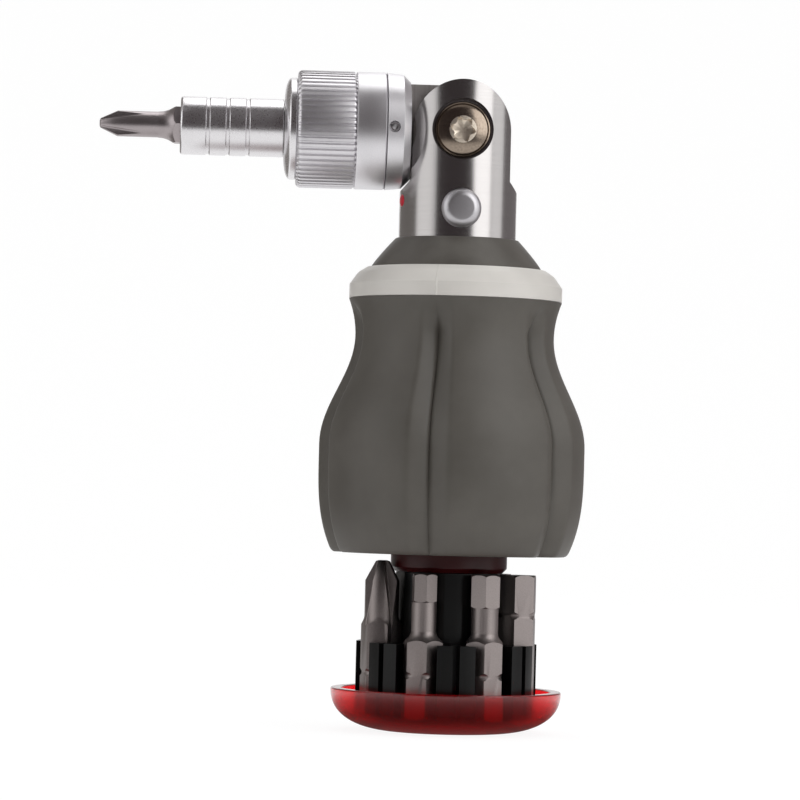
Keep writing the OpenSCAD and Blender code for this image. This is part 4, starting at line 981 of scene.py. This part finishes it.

# %% [markdown]
# ## Flags
# Polished metal has no look of its own: it shows the room. The dark streaks on the yoke and on the
# bit holder are a dark room in front of the table, from the table's edge up to overhead, with soft
# light beside it. Two grey cards beside the object, just out of the picture, darken the edges of the
# metal against the white sheet. A small reddish card under the cap is a painted shadow. It stands in
# for the shade on the sheet under the cap and for the red light that comes through the cap, and it
# fades to white at its rim.
# Only reflections find these cards, and the one under the cap also shows through the clear plastic.
# They take no light away.

# %% Dark room and side cards
def card(name, corners, grey, fade=None):
    """A flat card that shows in reflections alone. It may fade to white between two radii in mm."""
    material, tree, output, place = new_finish(name + "_felt")
    card_glow = add(tree, "Emission", {"Color": colour(grey), "Strength": 1.0})
    if fade:
        radius = add(tree, "VectorMath", {"operation": "LENGTH"}, {0: (place, "Object")})
        share = add(tree, "MapRange", {"From Min": fade[0] * MM, "From Max": fade[1] * MM},
                    {"Value": (radius, "Value")})
        tone = add(tree, "ValToRGB", None, {"Fac": (share, "Result")})
        tone.color_ramp.elements[0].color = colour(grey)
        tree.links.new(tone.outputs["Color"], card_glow.inputs["Color"])
    tree.links.new(card_glow.outputs["Emission"], output.inputs["Surface"])
    bm = bmesh.new()
    bm.faces.new([bm.verts.new(c) for c in corners])
    obj = stage_piece(name, bm, material)
    for ray in ("camera", "diffuse", "shadow", "transmission"):
        setattr(obj, "visible_" + ray, False)
    return obj


# In metres: the sides of the dark room, its front wall, its ceiling and where the table ends
ROOM_LEFT, ROOM_RIGHT, ROOM_FRONT, ROOM_TOP, TABLE_EDGE = -1.0, 0.4, -0.9, 0.9, -0.35
WALL_FOOT, ROOM_FLOOR, CEILING_BACK = -0.05, -0.02, -0.03
ROOM_GREY = "#4A4445"
card("room_wall", [(ROOM_LEFT, ROOM_FRONT, WALL_FOOT), (ROOM_RIGHT, ROOM_FRONT, WALL_FOOT),
                   (ROOM_RIGHT, ROOM_FRONT, ROOM_TOP), (ROOM_LEFT, ROOM_FRONT, ROOM_TOP)], ROOM_GREY)
card("room_ceiling", [(ROOM_LEFT, ROOM_FRONT, ROOM_TOP), (ROOM_RIGHT, ROOM_FRONT, ROOM_TOP),
                      (ROOM_RIGHT, CEILING_BACK, ROOM_TOP), (ROOM_LEFT, CEILING_BACK, ROOM_TOP)],
     ROOM_GREY)
card("room_floor", [(ROOM_LEFT, ROOM_FRONT, ROOM_FLOOR), (ROOM_RIGHT, ROOM_FRONT, ROOM_FLOOR),
                    (ROOM_RIGHT, TABLE_EDGE, ROOM_FLOOR), (ROOM_LEFT, TABLE_EDGE, ROOM_FLOOR)],
     ROOM_GREY)
# The card under the cap is a painted shadow. Its reddish grey is a painted glow of the red light
# through the cap, and it fades to white at its rim.
SHADE_FROM, SHADE_TO, SHADE_Z = 20, 62, 0.1
under = [(x * MM, y * MM, SHADE_Z * MM) for x, y in circle(SHADE_TO, 32)]
card("painted_shadow_under_cap", under, "#6A4A48", (SHADE_FROM, SHADE_TO)).visible_transmission = True
FLAG_LONG, FLAG_TALL = 0.35, 0.4
for name, x, grey in (("flag_left", -0.13, "#8A8683"), ("flag_right", 0.145, "#8E898A")):
    card(name, [(x, 0, 0), (x, FLAG_LONG, 0), (x, FLAG_LONG, FLAG_TALL), (x, 0, FLAG_TALL)], grey)

# %% [markdown]
# ## Lamps
# Four large soft lamps light the tool, as softboxes do. Two of them stand side by side on the right,
# a bright one and a dim one, so that the yoke's round side shows a bright streak that falls off
# towards its edge. Another on the left gives the second, weaker streak, and the last hangs behind and
# above. An even grey world fills the shadows. Size, not strength, is what makes light soft.

# %% Lamps and world
def aim(obj, spot, target):
    """Places an object and points its -Z at a target."""
    obj.location = spot
    obj.rotation_mode = "QUATERNION"
    obj.rotation_quaternion = (Vector(target) - Vector(spot)).to_track_quat("-Z", "Y")


def soft_lamp(name, azimuth, distance, height, width, tall, brightness):
    """A soft lamp. Its azimuth is counted from the camera's side, and brightness is 1 for white."""
    lamp = bpy.data.lights.new(name, "AREA")
    lamp.shape = "RECTANGLE"
    lamp.size, lamp.size_y = width, tall
    lamp.energy = brightness * math.pi * width * tall
    obj = bpy.data.objects.new(name, lamp)
    bpy.context.scene.collection.objects.link(obj)
    turn = math.radians(azimuth)
    aim(obj, (distance * math.sin(turn), -distance * math.cos(turn), height), MIDDLE)


MIDDLE = (0, 0, 0.07)
soft_lamp("lamp_left", -72, 0.6, 0.42, 0.45, 0.8, 0.38)
soft_lamp("lamp_right_near", 45, 0.6, 0.42, 0.46, 0.8, 1.36)
soft_lamp("lamp_right_far", 81, 0.6, 0.42, 0.34, 0.8, 0.3)
soft_lamp("lamp_top", 180, 0.3, 1.1, 0.9, 0.9, 1.2)

world = bpy.data.worlds.new("studio")
world.use_nodes = True
room = world.node_tree
room.nodes.clear()
room_out = add(room, "OutputWorld")
FILL = 0.46
strength = add(room, "Math", {"operation": "ADD", 1: FILL},
               {0: (white_share(room, 1 - FILL), "Value")})
walls = add(room, "Background", {"Color": WHITE}, {"Strength": (strength, "Value")})
room.links.new(walls.outputs["Background"], room_out.inputs["Surface"])
bpy.context.scene.world = world
bpy.context.scene.view_settings.view_transform = "Standard"

# %% [markdown]
# ## Camera
# The photograph was taken from about 0.7 m with a long lens, from a little to the left and below the
# middle of the tool. The tool leans by a degree and a half in it, and the camera is rolled instead.

# %% Camera
PITCH, YAW, ROLL = 1.32, 2.81, 1.48
CAMERA_MM = (-43.7, -697, 42.95)
camera_data = bpy.data.cameras.new("photo_camera")
camera_data.lens = 175.6
camera_data.sensor_width = 36.0
camera_data.dof.use_dof = False
camera = bpy.data.objects.new("photo_camera", camera_data)
bpy.context.scene.collection.objects.link(camera)
bpy.context.scene.camera = camera
camera.location = [c * MM for c in CAMERA_MM]
camera.rotation_mode = "QUATERNION"
camera.rotation_quaternion = (turn_by(-YAW) @ turn_by(90 + PITCH, "X") @ turn_by(ROLL)).to_quaternion()
print("camera at", [round(c, 4) for c in camera.location])
